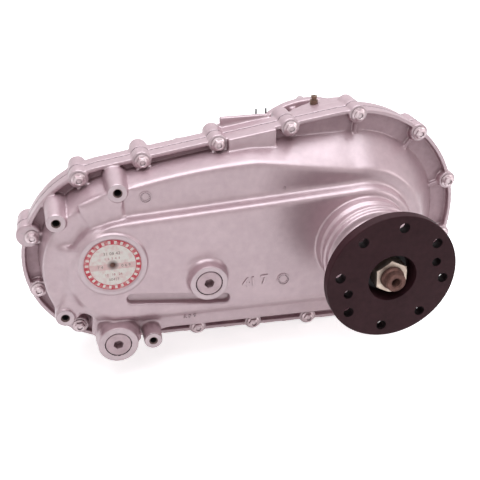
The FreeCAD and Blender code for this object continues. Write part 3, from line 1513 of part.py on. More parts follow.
def make_lever_nut():
    z = lever_z + lever_thickness
    corner = lever_nut_across_flats / math.sqrt(3.0)
    points = []
    for index in range(7):
        spot = polar((selector_x, selector_y), corner, lever_nut_angle + 60.0 * index)
        points.append(FreeCAD.Vector(spot[0], spot[1], z))
    nut = Part.Face(Part.makePolygon(points)).extrude(FreeCAD.Vector(0, 0, lever_nut_height))
    return nut.cut(post(selector_x, selector_y, z - 1.0, z + lever_nut_height + 1.0,
                        selector_stub_radius + seat_gap))


def make_selector_seal():
    outer = post(selector_x, selector_y, selector_boss_z - seal_recess, selector_boss_z,
                 selector_radius + selector_seal_wall)
    return outer.cut(post(selector_x, selector_y, selector_boss_z - seal_recess - 1.0,
                          selector_boss_z + 1.0, selector_radius + running_gap))


def detent_rod(x_low, x_high, radius):
    return Part.makeCylinder(radius, x_high - x_low, FreeCAD.Vector(x_low, selector_y, detent_z),
                             FreeCAD.Vector(1, 0, 0))


def make_detent():
    tip = selector_x - sector_radius - body_gap
    plunger_back = tip - plunger_length
    plunger = detent_rod(plunger_back, tip - detent_radius, detent_radius)
    nose = Part.makeSphere(detent_radius, FreeCAD.Vector(tip - detent_radius, selector_y, detent_z))
    plunger = plunger.fuse(nose).removeSplitter()
    plug_end = detent_x + detent_plug_reach
    plug = detent_rod(detent_x - 1.0, plug_end, detent_radius + detent_plug_step - seat_gap)
    head = detent_rod(detent_x - detent_plug_head, detent_x, detent_radius + detent_plug_head)
    plug = plug.fuse(head).removeSplitter()
    spring_x = plug_end + body_gap
    spring_length = plunger_back - body_gap - spring_x
    spring_radius = detent_radius - spring_inset
    margin = spring_wire_radius + 0.1
    helix = Part.makeHelix(spring_length / spring_turns, spring_length - 2.0 * margin, spring_radius)
    section = Part.Wire(Part.makeCircle(spring_wire_radius, FreeCAD.Vector(spring_radius, 0, 0),
                                        FreeCAD.Vector(0, 1, 0)))
    spring = Part.Wire(helix).makePipeShell([section], True, True)
    spring.rotate(FreeCAD.Vector(0, 0, 0), FreeCAD.Vector(0, 1, 0), 90.0)
    spring.translate(FreeCAD.Vector(spring_x + margin, selector_y, detent_z))
    return plunger, plug, spring


def make_switch():
    low = switch_shelf_z
    body = post(switch_x, switch_y, low - switch_thread_length, low, switch_thread_radius)
    body = body.fuse(post(switch_x, switch_y, low, low + switch_head_height,
                          switch_thread_radius + switch_head_step))
    for side in (-1.0, 1.0):
        body = body.fuse(post(switch_x + side * switch_pin_span / 2.0, switch_y, low + 4.0, switch_tip_z,
                              switch_pin_radius))
    return body.removeSplitter()


def make_vent():
    low = hump_radius - vent_sink
    stem = post(vent_x, switch_y, low, vent_tip_z, vent_radius)
    barb = post(vent_x, switch_y, vent_tip_z - vent_barb_height, vent_tip_z, vent_radius + vent_barb_step)
    collar = post(vent_x, switch_y, hump_radius - vent_collar_sink, hump_radius + vent_collar_proud,
                  vent_radius + vent_collar_step)
    vent = stem.fuse(barb).fuse(collar)
    return vent.cut(post(vent_x, switch_y, low - 1.0, vent_tip_z + 1.0, vent_bore_radius)).removeSplitter()


# oil pump and pickup
def make_pump_housing():
    front = pump_back_y + pump_depth
    housing = tube(main_axis, pump_back_y, front, pump_radius, main_radius + body_gap)
    return housing.cut(rod(main_axis, pump_back_y + pump_floor, front + 1.0, pump_rotor_radius + body_gap))


def make_pump_cover():
    back = pump_back_y + pump_depth
    front = back + pump_cover_thickness
    cover = tube(main_axis, back, front, pump_radius, main_radius + body_gap)
    lug = rod((0.0, pickup_z), back, front + pickup_lug_reach, pickup_radius + pickup_lug_wall)
    hole = rod((0.0, pickup_z), back + 1.0, front + pickup_lug_reach + 1.0, pickup_radius + seat_gap)
    return cover.fuse(lug).cut(hole).removeSplitter()


def make_pump_rotor():
    back = pump_back_y + pump_floor + body_gap
    front = pump_rear_y + pump_depth - body_gap
    rotor = tube(main_axis, back, front, pump_rotor_radius, main_radius)
    slot = block(main_radius + pump_slot_root, pump_rotor_radius + 1.0, back - 1.0, front + 1.0,
                 -pump_slot_half, pump_slot_half)
    return rotor.cut(Part.makeCompound(around(slot, pump_slot_count)))


def capsule(first, second, radius):
    direction = second.sub(first)
    return Part.makeCylinder(radius, direction.Length, first, direction)


def pickup_run(radius):
    # the slanted run of the pickup tube, down to its end inside the strainer
    elbow = FreeCAD.Vector(0.0, pickup_y, pickup_z)
    end = FreeCAD.Vector(strainer_x + strainer_length - pickup_entry, pickup_y, strainer_z)
    return Part.makeSphere(radius, elbow).fuse(capsule(elbow, end, radius))


def make_pickup_tube():
    start = FreeCAD.Vector(0.0, pump_rear_y + pump_depth + pickup_start, pickup_z)
    elbow = FreeCAD.Vector(0.0, pickup_y, pickup_z)
    return capsule(start, elbow, pickup_radius).fuse(pickup_run(pickup_radius)).removeSplitter()


def make_strainer():
    low = pickup_y - strainer_thickness / 2.0
    high = pickup_y + strainer_thickness / 2.0
    box = block(strainer_x, strainer_x + strainer_length, low, high, strainer_z - strainer_height / 2.0,
                strainer_z + strainer_height / 2.0)
    slots = []
    for index in range(strainer_slot_count):
        x = strainer_x + strainer_end + strainer_slot_pitch * index
        slots.append(block(x, x + strainer_slot_width, low + strainer_wall, high - strainer_wall,
                           strainer_z - strainer_height, strainer_z + strainer_top))
    return box.cut(Part.makeCompound(slots)).cut(pickup_run(pickup_radius + seat_gap))


def make_magnet():
    return tube((magnet_x, magnet_z), shoulder_y + wall, shoulder_y + wall + magnet_thickness,
                magnet_radius, magnet_hole_radius)


def make_label():
    floor_y = face_y - label_boss_proud + label_recess_depth
    return tube(front_axis, floor_y - label_thickness, floor_y, label_radius, label_hole_radius)


parts = {}
parts["rear_case"] = make_rear_case()
parts["front_case"] = make_front_case()
parts["case_gasket"] = make_gasket()
parts["case_bolts"] = Part.makeCompound([make_case_bolt(centre) for centre in bolt_places()])
parts["dowels"] = make_dowels()
parts["adapter_studs"] = make_studs()
parts["fill_plug"] = make_plug(fill_place)
parts["drain_plug"] = make_plug(drain_place)
parts["label"] = make_label()
parts["vent"] = make_vent()
parts["position_switch"] = make_switch()

parts["mainshaft"] = make_mainshaft()
parts["range_hub"] = tube(main_axis, hub_front_y - range_hub_length, hub_front_y, range_dog_radius,
                          hub_seat_radius)
parts["mode_hub"] = tube(main_axis, mode_hub_back_y, mode_hub_back_y + mode_hub_length, mode_dog_radius,
                         hub_seat_radius)
parts["drive_sprocket"] = make_drive_sprocket()
parts["sprocket_bearing"] = tube(main_axis, chain_rear_y + 1.0, chain_front_y - 1.0, sprocket_bore,
                                 main_radius)
parts["output_flange"] = make_output_flange()
parts["sealing_washer"] = tube(main_axis, washer_y, output_y + recess_depth, washer_radius,
                               stub_radius + seat_gap)
parts["flange_nut"] = flange_nut(main_axis, washer_y - nut_height, nut_height, nut_across_flats,
                                 stub_radius, nut_angle)
parts["range_collar"] = make_collar(range_collar_y, range_dog_radius)
parts["mode_collar"] = make_collar(mode_collar_y, mode_dog_radius)

parts["input_shaft"] = make_input_shaft()
parts["ring_gear"] = make_ring_gear()
parts["planet_carrier"] = make_carrier()
parts["planet_pins"] = make_planet_pins()
for index in range(planet_count):
    parts["planet_gear_" + str(index + 1)] = make_planet(index)
parts["pilot_bearing"] = needle_bearing(main_axis, gear_back_y - pilot_bearing_width, gear_back_y,
                                        pilot_radius, pilot_bearing_radius, pilot_needle_radius,
                                        pilot_needle_count)
outer, inner = ball_bearing(main_axis, input_back_y, input_bearing_width, input_radius,
                            input_bearing_radius, input_ball_count)
parts["input_bearing"] = outer
parts["input_bearing_race"] = inner
outer, inner = ball_bearing(main_axis, bearing_rear_y, big_bearing_width, rear_journal_radius,
                            big_bearing_radius, big_ball_count)
parts["rear_output_bearing"] = outer
parts["rear_output_bearing_race"] = inner
outer, inner = ball_bearing(front_axis, front_bearing_y, big_bearing_width, front_shaft_radius,
                            big_bearing_radius, big_ball_count)
parts["front_output_bearing"] = outer
parts["front_output_bearing_race"] = inner
parts["front_tail_bearing"] = needle_bearing(front_axis, face_y + wall + tail_bearing_gap, tail_boss_y,
                                             front_tail_radius, needle_radius, tail_needle_radius,
                                             tail_needle_count)
parts["input_seal"] = oil_seal(main_axis, input_bearing_y + 1.0, input_seal_radius, input_radius)
parts["rear_output_seal"] = oil_seal(main_axis, output_y + nose_back + 1.0, output_seal_radius,
                                     output_hub_radius)
parts["front_output_seal"] = oil_seal(front_axis, front_nose_y - 1.0 - seal_width, front_seal_radius,
                                      front_hub_radius)
rings = [snap_ring(main_axis, input_back_y - snap_ring_thickness, input_bearing_radius)]
rings.append(snap_ring(main_axis, bearing_front_y, big_bearing_radius))
rings.append(snap_ring(front_axis, front_bearing_y - snap_ring_thickness, big_bearing_radius))
parts["snap_rings"] = Part.makeCompound(rings)

parts["chain"] = make_chain()
parts["front_output_shaft"] = make_front_output_shaft()
parts["front_output_flange"] = make_front_flange()
parts["front_flange_nut"] = flange_nut(front_axis, front_seat_y, front_nut_height, nut_across_flats,
                                       stub_radius, front_nut_angle)

parts["shift_rail"] = rod((rail_x, rail_z), mode_fork_y - rail_rear_reach, pocket_front_y + rail_front_sink,
                          rail_radius)
parts["range_fork"] = make_range_fork()
parts["mode_fork"] = make_mode_fork()
parts["selector_shaft"] = make_selector_shaft()
parts["selector_seal"] = make_selector_seal()
parts["shift_lever"] = make_shift_lever()
parts["lever_nut"] = make_lever_nut()
plunger, plug, spring = make_detent()
parts["detent_plunger"] = plunger
parts["detent_plug"] = plug
parts["detent_spring"] = spring

parts["pump_housing"] = make_pump_housing()
parts["pump_cover"] = make_pump_cover()
parts["pump_rotor"] = make_pump_rotor()
parts["pickup_tube"] = make_pickup_tube()
parts["oil_strainer"] = make_strainer()
parts["chip_magnet"] = make_magnet()

os.makedirs("parts", exist_ok=True)
for node, shape in parts.items():
    shape.exportStep("parts/" + node + ".step")
    print(node, "solids", len(shape.Solids), "valid", shape.isValid(), "volume", round(shape.Volume))
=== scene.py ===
import bpy
import bmesh
import json
import math
import numpy as np
from mathutils import Matrix, Vector
from mathutils.bvhtree import BVHTree


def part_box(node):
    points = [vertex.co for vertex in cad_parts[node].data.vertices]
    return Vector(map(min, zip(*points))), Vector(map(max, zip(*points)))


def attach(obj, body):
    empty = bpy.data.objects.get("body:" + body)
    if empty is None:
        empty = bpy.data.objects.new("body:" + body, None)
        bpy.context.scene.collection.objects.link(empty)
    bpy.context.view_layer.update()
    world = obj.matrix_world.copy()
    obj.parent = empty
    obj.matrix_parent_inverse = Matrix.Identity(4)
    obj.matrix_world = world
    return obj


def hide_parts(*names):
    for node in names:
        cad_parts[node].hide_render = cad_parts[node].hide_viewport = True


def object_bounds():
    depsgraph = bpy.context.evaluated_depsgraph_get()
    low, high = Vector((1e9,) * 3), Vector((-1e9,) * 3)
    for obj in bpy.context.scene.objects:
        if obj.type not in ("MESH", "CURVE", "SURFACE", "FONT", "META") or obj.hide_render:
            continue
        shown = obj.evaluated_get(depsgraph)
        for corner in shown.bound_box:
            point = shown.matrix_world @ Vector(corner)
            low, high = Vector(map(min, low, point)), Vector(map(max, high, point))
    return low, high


# Looks of the transfer case. Lengths are in metres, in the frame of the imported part.
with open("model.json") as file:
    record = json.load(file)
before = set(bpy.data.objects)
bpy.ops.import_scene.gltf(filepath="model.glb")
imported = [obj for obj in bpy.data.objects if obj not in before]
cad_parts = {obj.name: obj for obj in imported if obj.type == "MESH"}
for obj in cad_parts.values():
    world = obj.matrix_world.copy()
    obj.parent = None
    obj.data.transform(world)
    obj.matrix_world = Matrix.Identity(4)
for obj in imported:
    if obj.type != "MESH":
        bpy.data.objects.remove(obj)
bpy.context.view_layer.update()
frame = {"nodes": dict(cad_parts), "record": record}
print("stage: frame loaded")

mm = 0.001

# places on the part that the looks refer to, in millimetres as (x, z)
mainAxis = (0.0, 0.0)
frontAxis = (-256.0, 5.0)
tappedBosses = (
    (-304.0, 50.0, -189.0), (-245.0, 75.0, -189.0), (-307.0, -54.0, -191.0), (-222.5, -86.0, -204.0),
)
jointMain = ((0.0, 0.0), 125.0)
jointLeft = ((-242.5, -13.5), 102.0)
fillPlug = (-164.0, -22.0, -210.0)
plugRadius = 13.7
drainPlug = (-258.0, -84.0, -206.0)
seatY = -151.0
faceY = -197.0


# materials
def newGrainGroup():
    group = bpy.data.node_groups.new("grainSurface", "ShaderNodeTree")
    face = group.interface
    for name in ("Light", "Dark", "Shade"):
        face.new_socket(name, in_out="INPUT", socket_type="NodeSocketColor")
    for name in ("Patch", "Fine", "Corner", "Roughness low", "Roughness high"):
        face.new_socket(name, in_out="INPUT", socket_type="NodeSocketFloat")
    face.new_socket("Colour", in_out="OUTPUT", socket_type="NodeSocketColor")
    face.new_socket("Roughness", in_out="OUTPUT", socket_type="NodeSocketFloat")
    face.new_socket("Height", in_out="OUTPUT", socket_type="NodeSocketFloat")
    nodes = group.nodes
    links = group.links
    start = nodes.new("NodeGroupInput")
    end = nodes.new("NodeGroupOutput")
    place = nodes.new("ShaderNodeTexCoord")
    patch = nodes.new("ShaderNodeTexNoise")
    patch.inputs["Detail"].default_value = 5.0
    links.new(place.outputs["Object"], patch.inputs["Vector"])
    links.new(start.outputs["Patch"], patch.inputs["Scale"])
    coarse = nodes.new("ShaderNodeTexNoise")
    coarse.inputs["Scale"].default_value = 160.0
    coarse.inputs["Detail"].default_value = 4.0
    links.new(place.outputs["Object"], coarse.inputs["Vector"])
    both = nodes.new("ShaderNodeMath")
    both.operation = "ADD"
    links.new(patch.outputs["Fac"], both.inputs[0])
    links.new(coarse.outputs["Fac"], both.inputs[1])
    spread = nodes.new("ShaderNodeMapRange")
    spread.inputs["From Min"].default_value = 0.7
    spread.inputs["From Max"].default_value = 1.35
    links.new(both.outputs["Value"], spread.inputs["Value"])
    tone = nodes.new("ShaderNodeMix")
    tone.data_type = "RGBA"
    links.new(spread.outputs["Result"], tone.inputs["Factor"])
    links.new(start.outputs["Light"], tone.inputs["A"])
    links.new(start.outputs["Dark"], tone.inputs["B"])
    # painted shade: where ambient occlusion finds corners, creases and hollows, the Shade colour is mixed
    # into the surface colour
    corner = nodes.new("ShaderNodeAmbientOcclusion")
    corner.samples = 6
    links.new(start.outputs["Corner"], corner.inputs["Distance"])
    deep = nodes.new("ShaderNodeMapRange")
    deep.inputs["From Min"].default_value = 0.2
    deep.inputs["From Max"].default_value = 0.8
    deep.inputs["To Min"].default_value = 0.8
    deep.inputs["To Max"].default_value = 0.0
    links.new(corner.outputs["AO"], deep.inputs["Value"])
    paintedShade = nodes.new("ShaderNodeMix")
    paintedShade.data_type = "RGBA"
    links.new(deep.outputs["Result"], paintedShade.inputs["Factor"])
    links.new(tone.outputs["Result"], paintedShade.inputs["A"])
    links.new(start.outputs["Shade"], paintedShade.inputs["B"])
    links.new(paintedShade.outputs["Result"], end.inputs["Colour"])
    rough = nodes.new("ShaderNodeMapRange")
    links.new(patch.outputs["Fac"], rough.inputs["Value"])
    links.new(start.outputs["Roughness low"], rough.inputs["To Min"])
    links.new(start.outputs["Roughness high"], rough.inputs["To Max"])
    links.new(rough.outputs["Result"], end.inputs["Roughness"])
    fine = nodes.new("ShaderNodeTexNoise")
    fine.inputs["Detail"].default_value = 3.0
    links.new(place.outputs["Object"], fine.inputs["Vector"])
    links.new(start.outputs["Fine"], fine.inputs["Scale"])
    height = nodes.new("ShaderNodeMath")
    height.operation = "ADD"
    links.new(fine.outputs["Fac"], height.inputs[0])
    links.new(coarse.outputs["Fac"], height.inputs[1])
    links.new(height.outputs["Value"], end.inputs["Height"])
    return group


grainGroup = newGrainGroup()


def newThreadGroup():
    # fine rings along Y, like a thread seen from the side
    group = bpy.data.node_groups.new("threadRings", "ShaderNodeTree")
    group.interface.new_socket("Scale", in_out="INPUT", socket_type="NodeSocketFloat")
    group.interface.new_socket("Height", in_out="OUTPUT", socket_type="NodeSocketFloat")
    start = group.nodes.new("NodeGroupInput")
    end = group.nodes.new("NodeGroupOutput")
    place = group.nodes.new("ShaderNodeTexCoord")
    rings = group.nodes.new("ShaderNodeTexWave")
    rings.bands_direction = "Y"
    rings.wave_profile = "SIN"
    group.links.new(place.outputs["Object"], rings.inputs["Vector"])
    group.links.new(start.outputs["Scale"], rings.inputs["Scale"])
    group.links.new(rings.outputs["Fac"], end.inputs["Height"])
    return group


threadGroup = newThreadGroup()
threadLook = {"ringAtOne": 0.314, "bump": 0.8, "depth": 0.8 * mm}  # a ring is that long at a scale of 1


def surface(name, look):
    material = bpy.data.materials.new(name)
    material.use_nodes = True
    tree = material.node_tree
    shader = tree.nodes["Principled BSDF"]
    grain = tree.nodes.new("ShaderNodeGroup")
    grain.node_tree = grainGroup
    for key, socket in (("light", "Light"), ("dark", "Dark"), ("shade", "Shade")):
        grain.inputs[socket].default_value = (*look[key], 1.0)
    grain.inputs["Patch"].default_value = look["patch"]
    grain.inputs["Fine"].default_value = look["fine"]
    grain.inputs["Corner"].default_value = look["corner"]
    grain.inputs["Roughness low"].default_value = look["roughness"][0]
    grain.inputs["Roughness high"].default_value = look["roughness"][1]
    bump = tree.nodes.new("ShaderNodeBump")
    bump.inputs["Strength"].default_value = look["bump"]
    bump.inputs["Distance"].default_value = 0.3 * mm
    tree.links.new(grain.outputs["Height"], bump.inputs["Height"])
    tree.links.new(bump.outputs["Normal"], shader.inputs["Normal"])
    tree.links.new(grain.outputs["Colour"], shader.inputs["Base Color"])
    tree.links.new(grain.outputs["Roughness"], shader.inputs["Roughness"])
    shader.inputs["Metallic"].default_value = look["metallic"]
    shader.inputs["Specular IOR Level"].default_value = look.get("specular", 0.5)
    shader.inputs["IOR"].default_value = look.get("sheenIndex", 1.5)
    return material


def threadBump(material, pitch):
    # the rings of a thread on top of the material's own grain
    tree = material.node_tree
    rings = tree.nodes.new("ShaderNodeGroup")
    rings.node_tree = threadGroup
    rings.inputs["Scale"].default_value = 1.0 / pitch * threadLook["ringAtOne"]
    bump = tree.nodes.new("ShaderNodeBump")
    bump.inputs["Strength"].default_value = threadLook["bump"]
    bump.inputs["Distance"].default_value = threadLook["depth"]
    tree.links.new(rings.outputs["Height"], bump.inputs["Height"])
    old = [node for node in tree.nodes if node.type == "BUMP" and node != bump][0]
    tree.links.new(old.outputs["Normal"], bump.inputs["Normal"])
    tree.links.new(bump.outputs["Normal"], tree.nodes["Principled BSDF"].inputs["Normal"])
    return material


def mathNode(tree, operation, first, second=None):
    node = tree.nodes.new("ShaderNodeMath")
    node.operation = operation
    for index, value in enumerate((first, second)):
        if value is None:
            continue
        if isinstance(value, (int, float)):
            node.inputs[index].default_value = value
        else:
            tree.links.new(value, node.inputs[index])
    return node.outputs["Value"]


def mixColour(tree, factor, first, second):
    node = tree.nodes.new("ShaderNodeMix")
    node.data_type = "RGBA"
    tree.links.new(factor, node.inputs["Factor"])
    for name, value in (("A", first), ("B", second)):
        if isinstance(value, tuple):
            node.inputs[name].default_value = (*value, 1.0)
        else:
            tree.links.new(value, node.inputs[name])
    return node.outputs["Result"]


labelPrint = {
    "centre": (-256.0 * mm, 5.0 * mm), "ringInner": 22.6 * mm, "ringOuter": 27.2 * mm,
    "dashes": 26, "paper": (0.86, 0.79, 0.74), "ink": (0.56, 0.03, 0.055), "worn": (0.72, 0.4, 0.4),
    "rim": 0.9 * mm, "hair": 0.35 * mm, "bandDrop": 1.5 * mm, "bandHalf": 3.2 * mm,
    "hub": (0.07, 0.025, 0.02), "hubRadius": 3.6 * mm, "face": -198.8 * mm,
    "grain": 260.0, "stain": 0.75, "bandStain": 0.55, "rubbed": 0.55,
}


def labelMaterial():
    look = labelPrint
    material = bpy.data.materials.new("labelPrint")
    material.use_nodes = True
    tree = material.node_tree
    shader = tree.nodes["Principled BSDF"]
    place = tree.nodes.new("ShaderNodeTexCoord")
    split = tree.nodes.new("ShaderNodeSeparateXYZ")
    tree.links.new(place.outputs["Object"], split.inputs["Vector"])
    across = mathNode(tree, "SUBTRACT", split.outputs["X"], look["centre"][0])
    upward = mathNode(tree, "SUBTRACT", split.outputs["Z"], look["centre"][1])
    squares = mathNode(tree, "ADD", mathNode(tree, "MULTIPLY", across, across),
                       mathNode(tree, "MULTIPLY", upward, upward))
    reach = mathNode(tree, "SQRT", squares)
    turn = mathNode(tree, "ARCTAN2", upward, across)
    wave = mathNode(tree, "SINE", mathNode(tree, "MULTIPLY", turn, float(look["dashes"])))
    dash = mathNode(tree, "GREATER_THAN", wave, -0.25)
    ring = mathNode(tree, "MULTIPLY", mathNode(tree, "GREATER_THAN", reach, look["ringInner"]),
                    mathNode(tree, "LESS_THAN", reach, look["ringOuter"]))
    dashes = mathNode(tree, "MULTIPLY", dash, ring)
    fromRing = mathNode(tree, "ABSOLUTE", mathNode(tree, "SUBTRACT", reach, look["ringInner"]))
    hair = mathNode(tree, "LESS_THAN", fromRing, look["hair"])
    rim = mathNode(tree, "GREATER_THAN", reach, look["ringOuter"] - look["rim"])
    ink = mathNode(tree, "MAXIMUM", mathNode(tree, "MAXIMUM", dashes, hair), rim)
    noise = tree.nodes.new("ShaderNodeTexNoise")
    noise.inputs["Scale"].default_value = look["grain"]
    noise.inputs["Detail"].default_value = 6.0
    tree.links.new(place.outputs["Object"], noise.inputs["Vector"])
    worn = tree.nodes.new("ShaderNodeMapRange")
    worn.inputs["From Min"].default_value = 0.42
    worn.inputs["From Max"].default_value = 0.72
    worn.inputs["To Max"].default_value = 0.75
    tree.links.new(noise.outputs["Fac"], worn.inputs["Value"])
    fromBand = mathNode(tree, "ABSOLUTE", mathNode(tree, "ADD", upward, look["bandDrop"]))
    band = mathNode(tree, "LESS_THAN", fromBand, look["bandHalf"])
    band = mathNode(tree, "MULTIPLY", band, mathNode(tree, "LESS_THAN", reach, look["ringInner"]))
    band = mathNode(tree, "MULTIPLY", band, look["bandStain"])
    colour = mixColour(tree, band, look["paper"], look["worn"])
    stain = mathNode(tree, "MULTIPLY", worn.outputs["Result"], look["stain"])
    colour = mixColour(tree, stain, colour, look["worn"])
    colour = mixColour(tree, ink, colour, look["ink"])
    rub = mathNode(tree, "MULTIPLY", ink, look["rubbed"])
    rub = mathNode(tree, "MULTIPLY", worn.outputs["Result"], rub)
    colour = mixColour(tree, rub, colour, look["paper"])
    smear = tree.nodes.new("ShaderNodeMapRange")
    smear.inputs["From Min"].default_value = look["hubRadius"]
    smear.inputs["From Max"].default_value = look["hubRadius"] * 2.0
    smear.inputs["To Min"].default_value = 0.9
    smear.inputs["To Max"].default_value = 0.0
    blur = mathNode(tree, "ADD", reach, mathNode(tree, "MULTIPLY", noise.outputs["Fac"], 2.0 * mm))
    tree.links.new(blur, smear.inputs["Value"])
    colour = mixColour(tree, smear.outputs["Result"], colour, look["hub"])
    tree.links.new(colour, shader.inputs["Base Color"])
    shader.inputs["Roughness"].default_value = 0.42
    bump = tree.nodes.new("ShaderNodeBump")
    bump.inputs["Strength"].default_value = 0.15
    bump.inputs["Distance"].default_value = 0.2 * mm
    tree.links.new(noise.outputs["Fac"], bump.inputs["Height"])
    tree.links.new(bump.outputs["Normal"], shader.inputs["Normal"])
    return material


# one dictionary for each finish: colours, shine, scale of the grain, and the colour (shade) and reach
# (corner) of the painted shade in corners
castFinish = {
    "light": (0.475, 0.318, 0.352), "dark": (0.39, 0.253, 0.284), "shade": (0.18, 0.1, 0.115),
    "metallic": 0.25, "sheenIndex": 2.4, "roughness": (0.29, 0.4),
    "patch": 26.0, "fine": 700.0, "bump": 0.3, "corner": 7.0 * mm,
}
machinedFinish = {
    "light": (0.5, 0.38, 0.405), "dark": (0.42, 0.31, 0.335), "shade": (0.16, 0.09, 0.105),
    "metallic": 0.35, "sheenIndex": 2.1, "roughness": (0.28, 0.42),
    "patch": 60.0, "fine": 1500.0, "bump": 0.08, "corner": 4.0 * mm,
}
# the first threads inside a bore, painted lighter than the deeper ones as if they catch light: painted
# highlight
threadFinish = {
    "light": (0.2, 0.13, 0.12), "dark": (0.1, 0.06, 0.06), "shade": (0.03, 0.018, 0.018),
    "metallic": 0.5, "roughness": (0.4, 0.6),
    "patch": 200.0, "fine": 1200.0, "bump": 0.2, "corner": 3.0 * mm,
}
# near black for the walls of the flange's bolt holes: painted shade
flangeHoleShadeFinish = {
    "light": (0.014, 0.008, 0.009), "dark": (0.006, 0.004, 0.004), "shade": (0.003, 0.002, 0.002),
    "metallic": 0.0, "specular": 0.1, "roughness": (0.5, 0.65),
    "patch": 200.0, "fine": 1200.0, "bump": 0.15, "corner": 6.0 * mm,
}
# the trough's pockets: darker for dirt and for the shade under the lip, which is painted into the colour
pocketDirtShadeFinish = {
    "light": (0.44, 0.31, 0.34), "dark": (0.36, 0.245, 0.27), "shade": (0.22, 0.135, 0.15),
    "metallic": 0.35, "roughness": (0.5, 0.65),
    "patch": 40.0, "fine": 800.0, "bump": 0.3, "corner": 9.0 * mm,
}
# near black for the inside of tapped bores and the gap round the plugs: painted shade
boreShadeFinish = {
    "light": (0.045, 0.03, 0.033), "dark": (0.015, 0.01, 0.012), "shade": (0.005, 0.004, 0.004),
    "metallic": 0.3, "roughness": (0.5, 0.75),
    "patch": 90.0, "fine": 800.0, "bump": 0.3, "corner": 6.0 * mm,
}
# the dark shade colour with a short reach paints shade lines where head, washer and flange meet
boltFinish = {
    "light": (0.66, 0.55, 0.57), "dark": (0.46, 0.35, 0.37), "shade": (0.09, 0.045, 0.055),
    "metallic": 0.8, "roughness": (0.24, 0.42),
    "patch": 160.0, "fine": 1400.0, "bump": 0.12, "corner": 3.0 * mm,
}
plugFinish = {
    "light": (0.48, 0.355, 0.38), "dark": (0.39, 0.28, 0.3), "shade": (0.12, 0.07, 0.08),
    "metallic": 0.4, "roughness": (0.28, 0.42),
    "patch": 90.0, "fine": 1200.0, "bump": 0.1, "corner": 3.0 * mm,
}
flangeFinish = {
    "light": (0.044, 0.015, 0.019), "dark": (0.028, 0.009, 0.012), "shade": (0.009, 0.003, 0.004),
    "metallic": 0.0, "specular": 0.12, "roughness": (0.46, 0.62),
    "patch": 34.0, "fine": 1100.0, "bump": 0.16, "corner": 8.0 * mm,
}
nutFinish = {
    "light": (0.6, 0.5, 0.42), "dark": (0.4, 0.3, 0.25), "shade": (0.06, 0.035, 0.03),
    "metallic": 0.7, "roughness": (0.32, 0.5),
    "patch": 120.0, "fine": 1200.0, "bump": 0.12, "corner": 4.0 * mm,
}
shaftFinish = {
    "light": (0.17, 0.08, 0.065), "dark": (0.05, 0.022, 0.018), "shade": (0.014, 0.006, 0.005),
    "metallic": 0.65, "roughness": (0.4, 0.68),
    "patch": 180.0, "fine": 1500.0, "bump": 0.35, "corner": 4.0 * mm,
}
steelFinish = {
    "light": (0.52, 0.5, 0.5), "dark": (0.36, 0.345, 0.35), "shade": (0.12, 0.1, 0.1),
    "metallic": 0.95, "roughness": (0.25, 0.42),
    "patch": 70.0, "fine": 1300.0, "bump": 0.07, "corner": 6.0 * mm,
}
groundFinish = {
    "light": (0.7, 0.7, 0.72), "dark": (0.55, 0.55, 0.58), "shade": (0.2, 0.2, 0.2),
    "metallic": 1.0, "roughness": (0.12, 0.24),
    "patch": 80.0, "fine": 1600.0, "bump": 0.03, "corner": 6.0 * mm,
}
bronzeFinish = {
    "light": (0.62, 0.42, 0.22), "dark": (0.45, 0.28, 0.14), "shade": (0.14, 0.08, 0.04),
    "metallic": 0.95, "roughness": (0.28, 0.42),
    "patch": 80.0, "fine": 1300.0, "bump": 0.06, "corner": 6.0 * mm,
}
rubberFinish = {
    "light": (0.035, 0.03, 0.032), "dark": (0.018, 0.015, 0.016), "shade": (0.006, 0.005, 0.005),
    "metallic": 0.0, "roughness": (0.5, 0.72),
    "patch": 110.0, "fine": 1300.0, "bump": 0.12, "corner": 5.0 * mm,
}
sealantFinish = {
    "light": (0.46, 0.36, 0.39), "dark": (0.34, 0.25, 0.28), "shade": (0.14, 0.09, 0.1),
    "metallic": 0.1, "roughness": (0.5, 0.65),
    "patch": 60.0, "fine": 700.0, "bump": 0.2, "corner": 4.0 * mm,
}
chainFinish = {
    "light": (0.3, 0.28, 0.29), "dark": (0.16, 0.145, 0.15), "shade": (0.04, 0.035, 0.035),
    "metallic": 0.95, "roughness": (0.3, 0.48),
    "patch": 140.0, "fine": 1300.0, "bump": 0.08, "corner": 4.0 * mm,
}
ironFinish = {
    "light": (0.27, 0.265, 0.27), "dark": (0.17, 0.165, 0.17), "shade": (0.06, 0.055, 0.055),
    "metallic": 0.7, "roughness": (0.42, 0.6),
    "patch": 60.0, "fine": 1000.0, "bump": 0.16, "corner": 6.0 * mm,
}
plasticFinish = {
    "light": (0.5, 0.46, 0.36), "dark": (0.42, 0.38, 0.3), "shade": (0.2, 0.18, 0.14),
    "metallic": 0.0, "roughness": (0.4, 0.55),
    "patch": 70.0, "fine": 900.0, "bump": 0.08, "corner": 4.0 * mm,
}
switchFinish = {
    "light": (0.06, 0.045, 0.045), "dark": (0.028, 0.02, 0.022), "shade": (0.01, 0.008, 0.008),
    "metallic": 0.1, "roughness": (0.4, 0.55),
    "patch": 120.0, "fine": 1100.0, "bump": 0.1, "corner": 3.0 * mm,
}
ventFinish = {
    "light": (0.27, 0.17, 0.12), "dark": (0.12, 0.07, 0.05), "shade": (0.04, 0.025, 0.02),
    "metallic": 0.5, "roughness": (0.42, 0.6),
    "patch": 200.0, "fine": 1300.0, "bump": 0.2, "corner": 2.0 * mm,
}

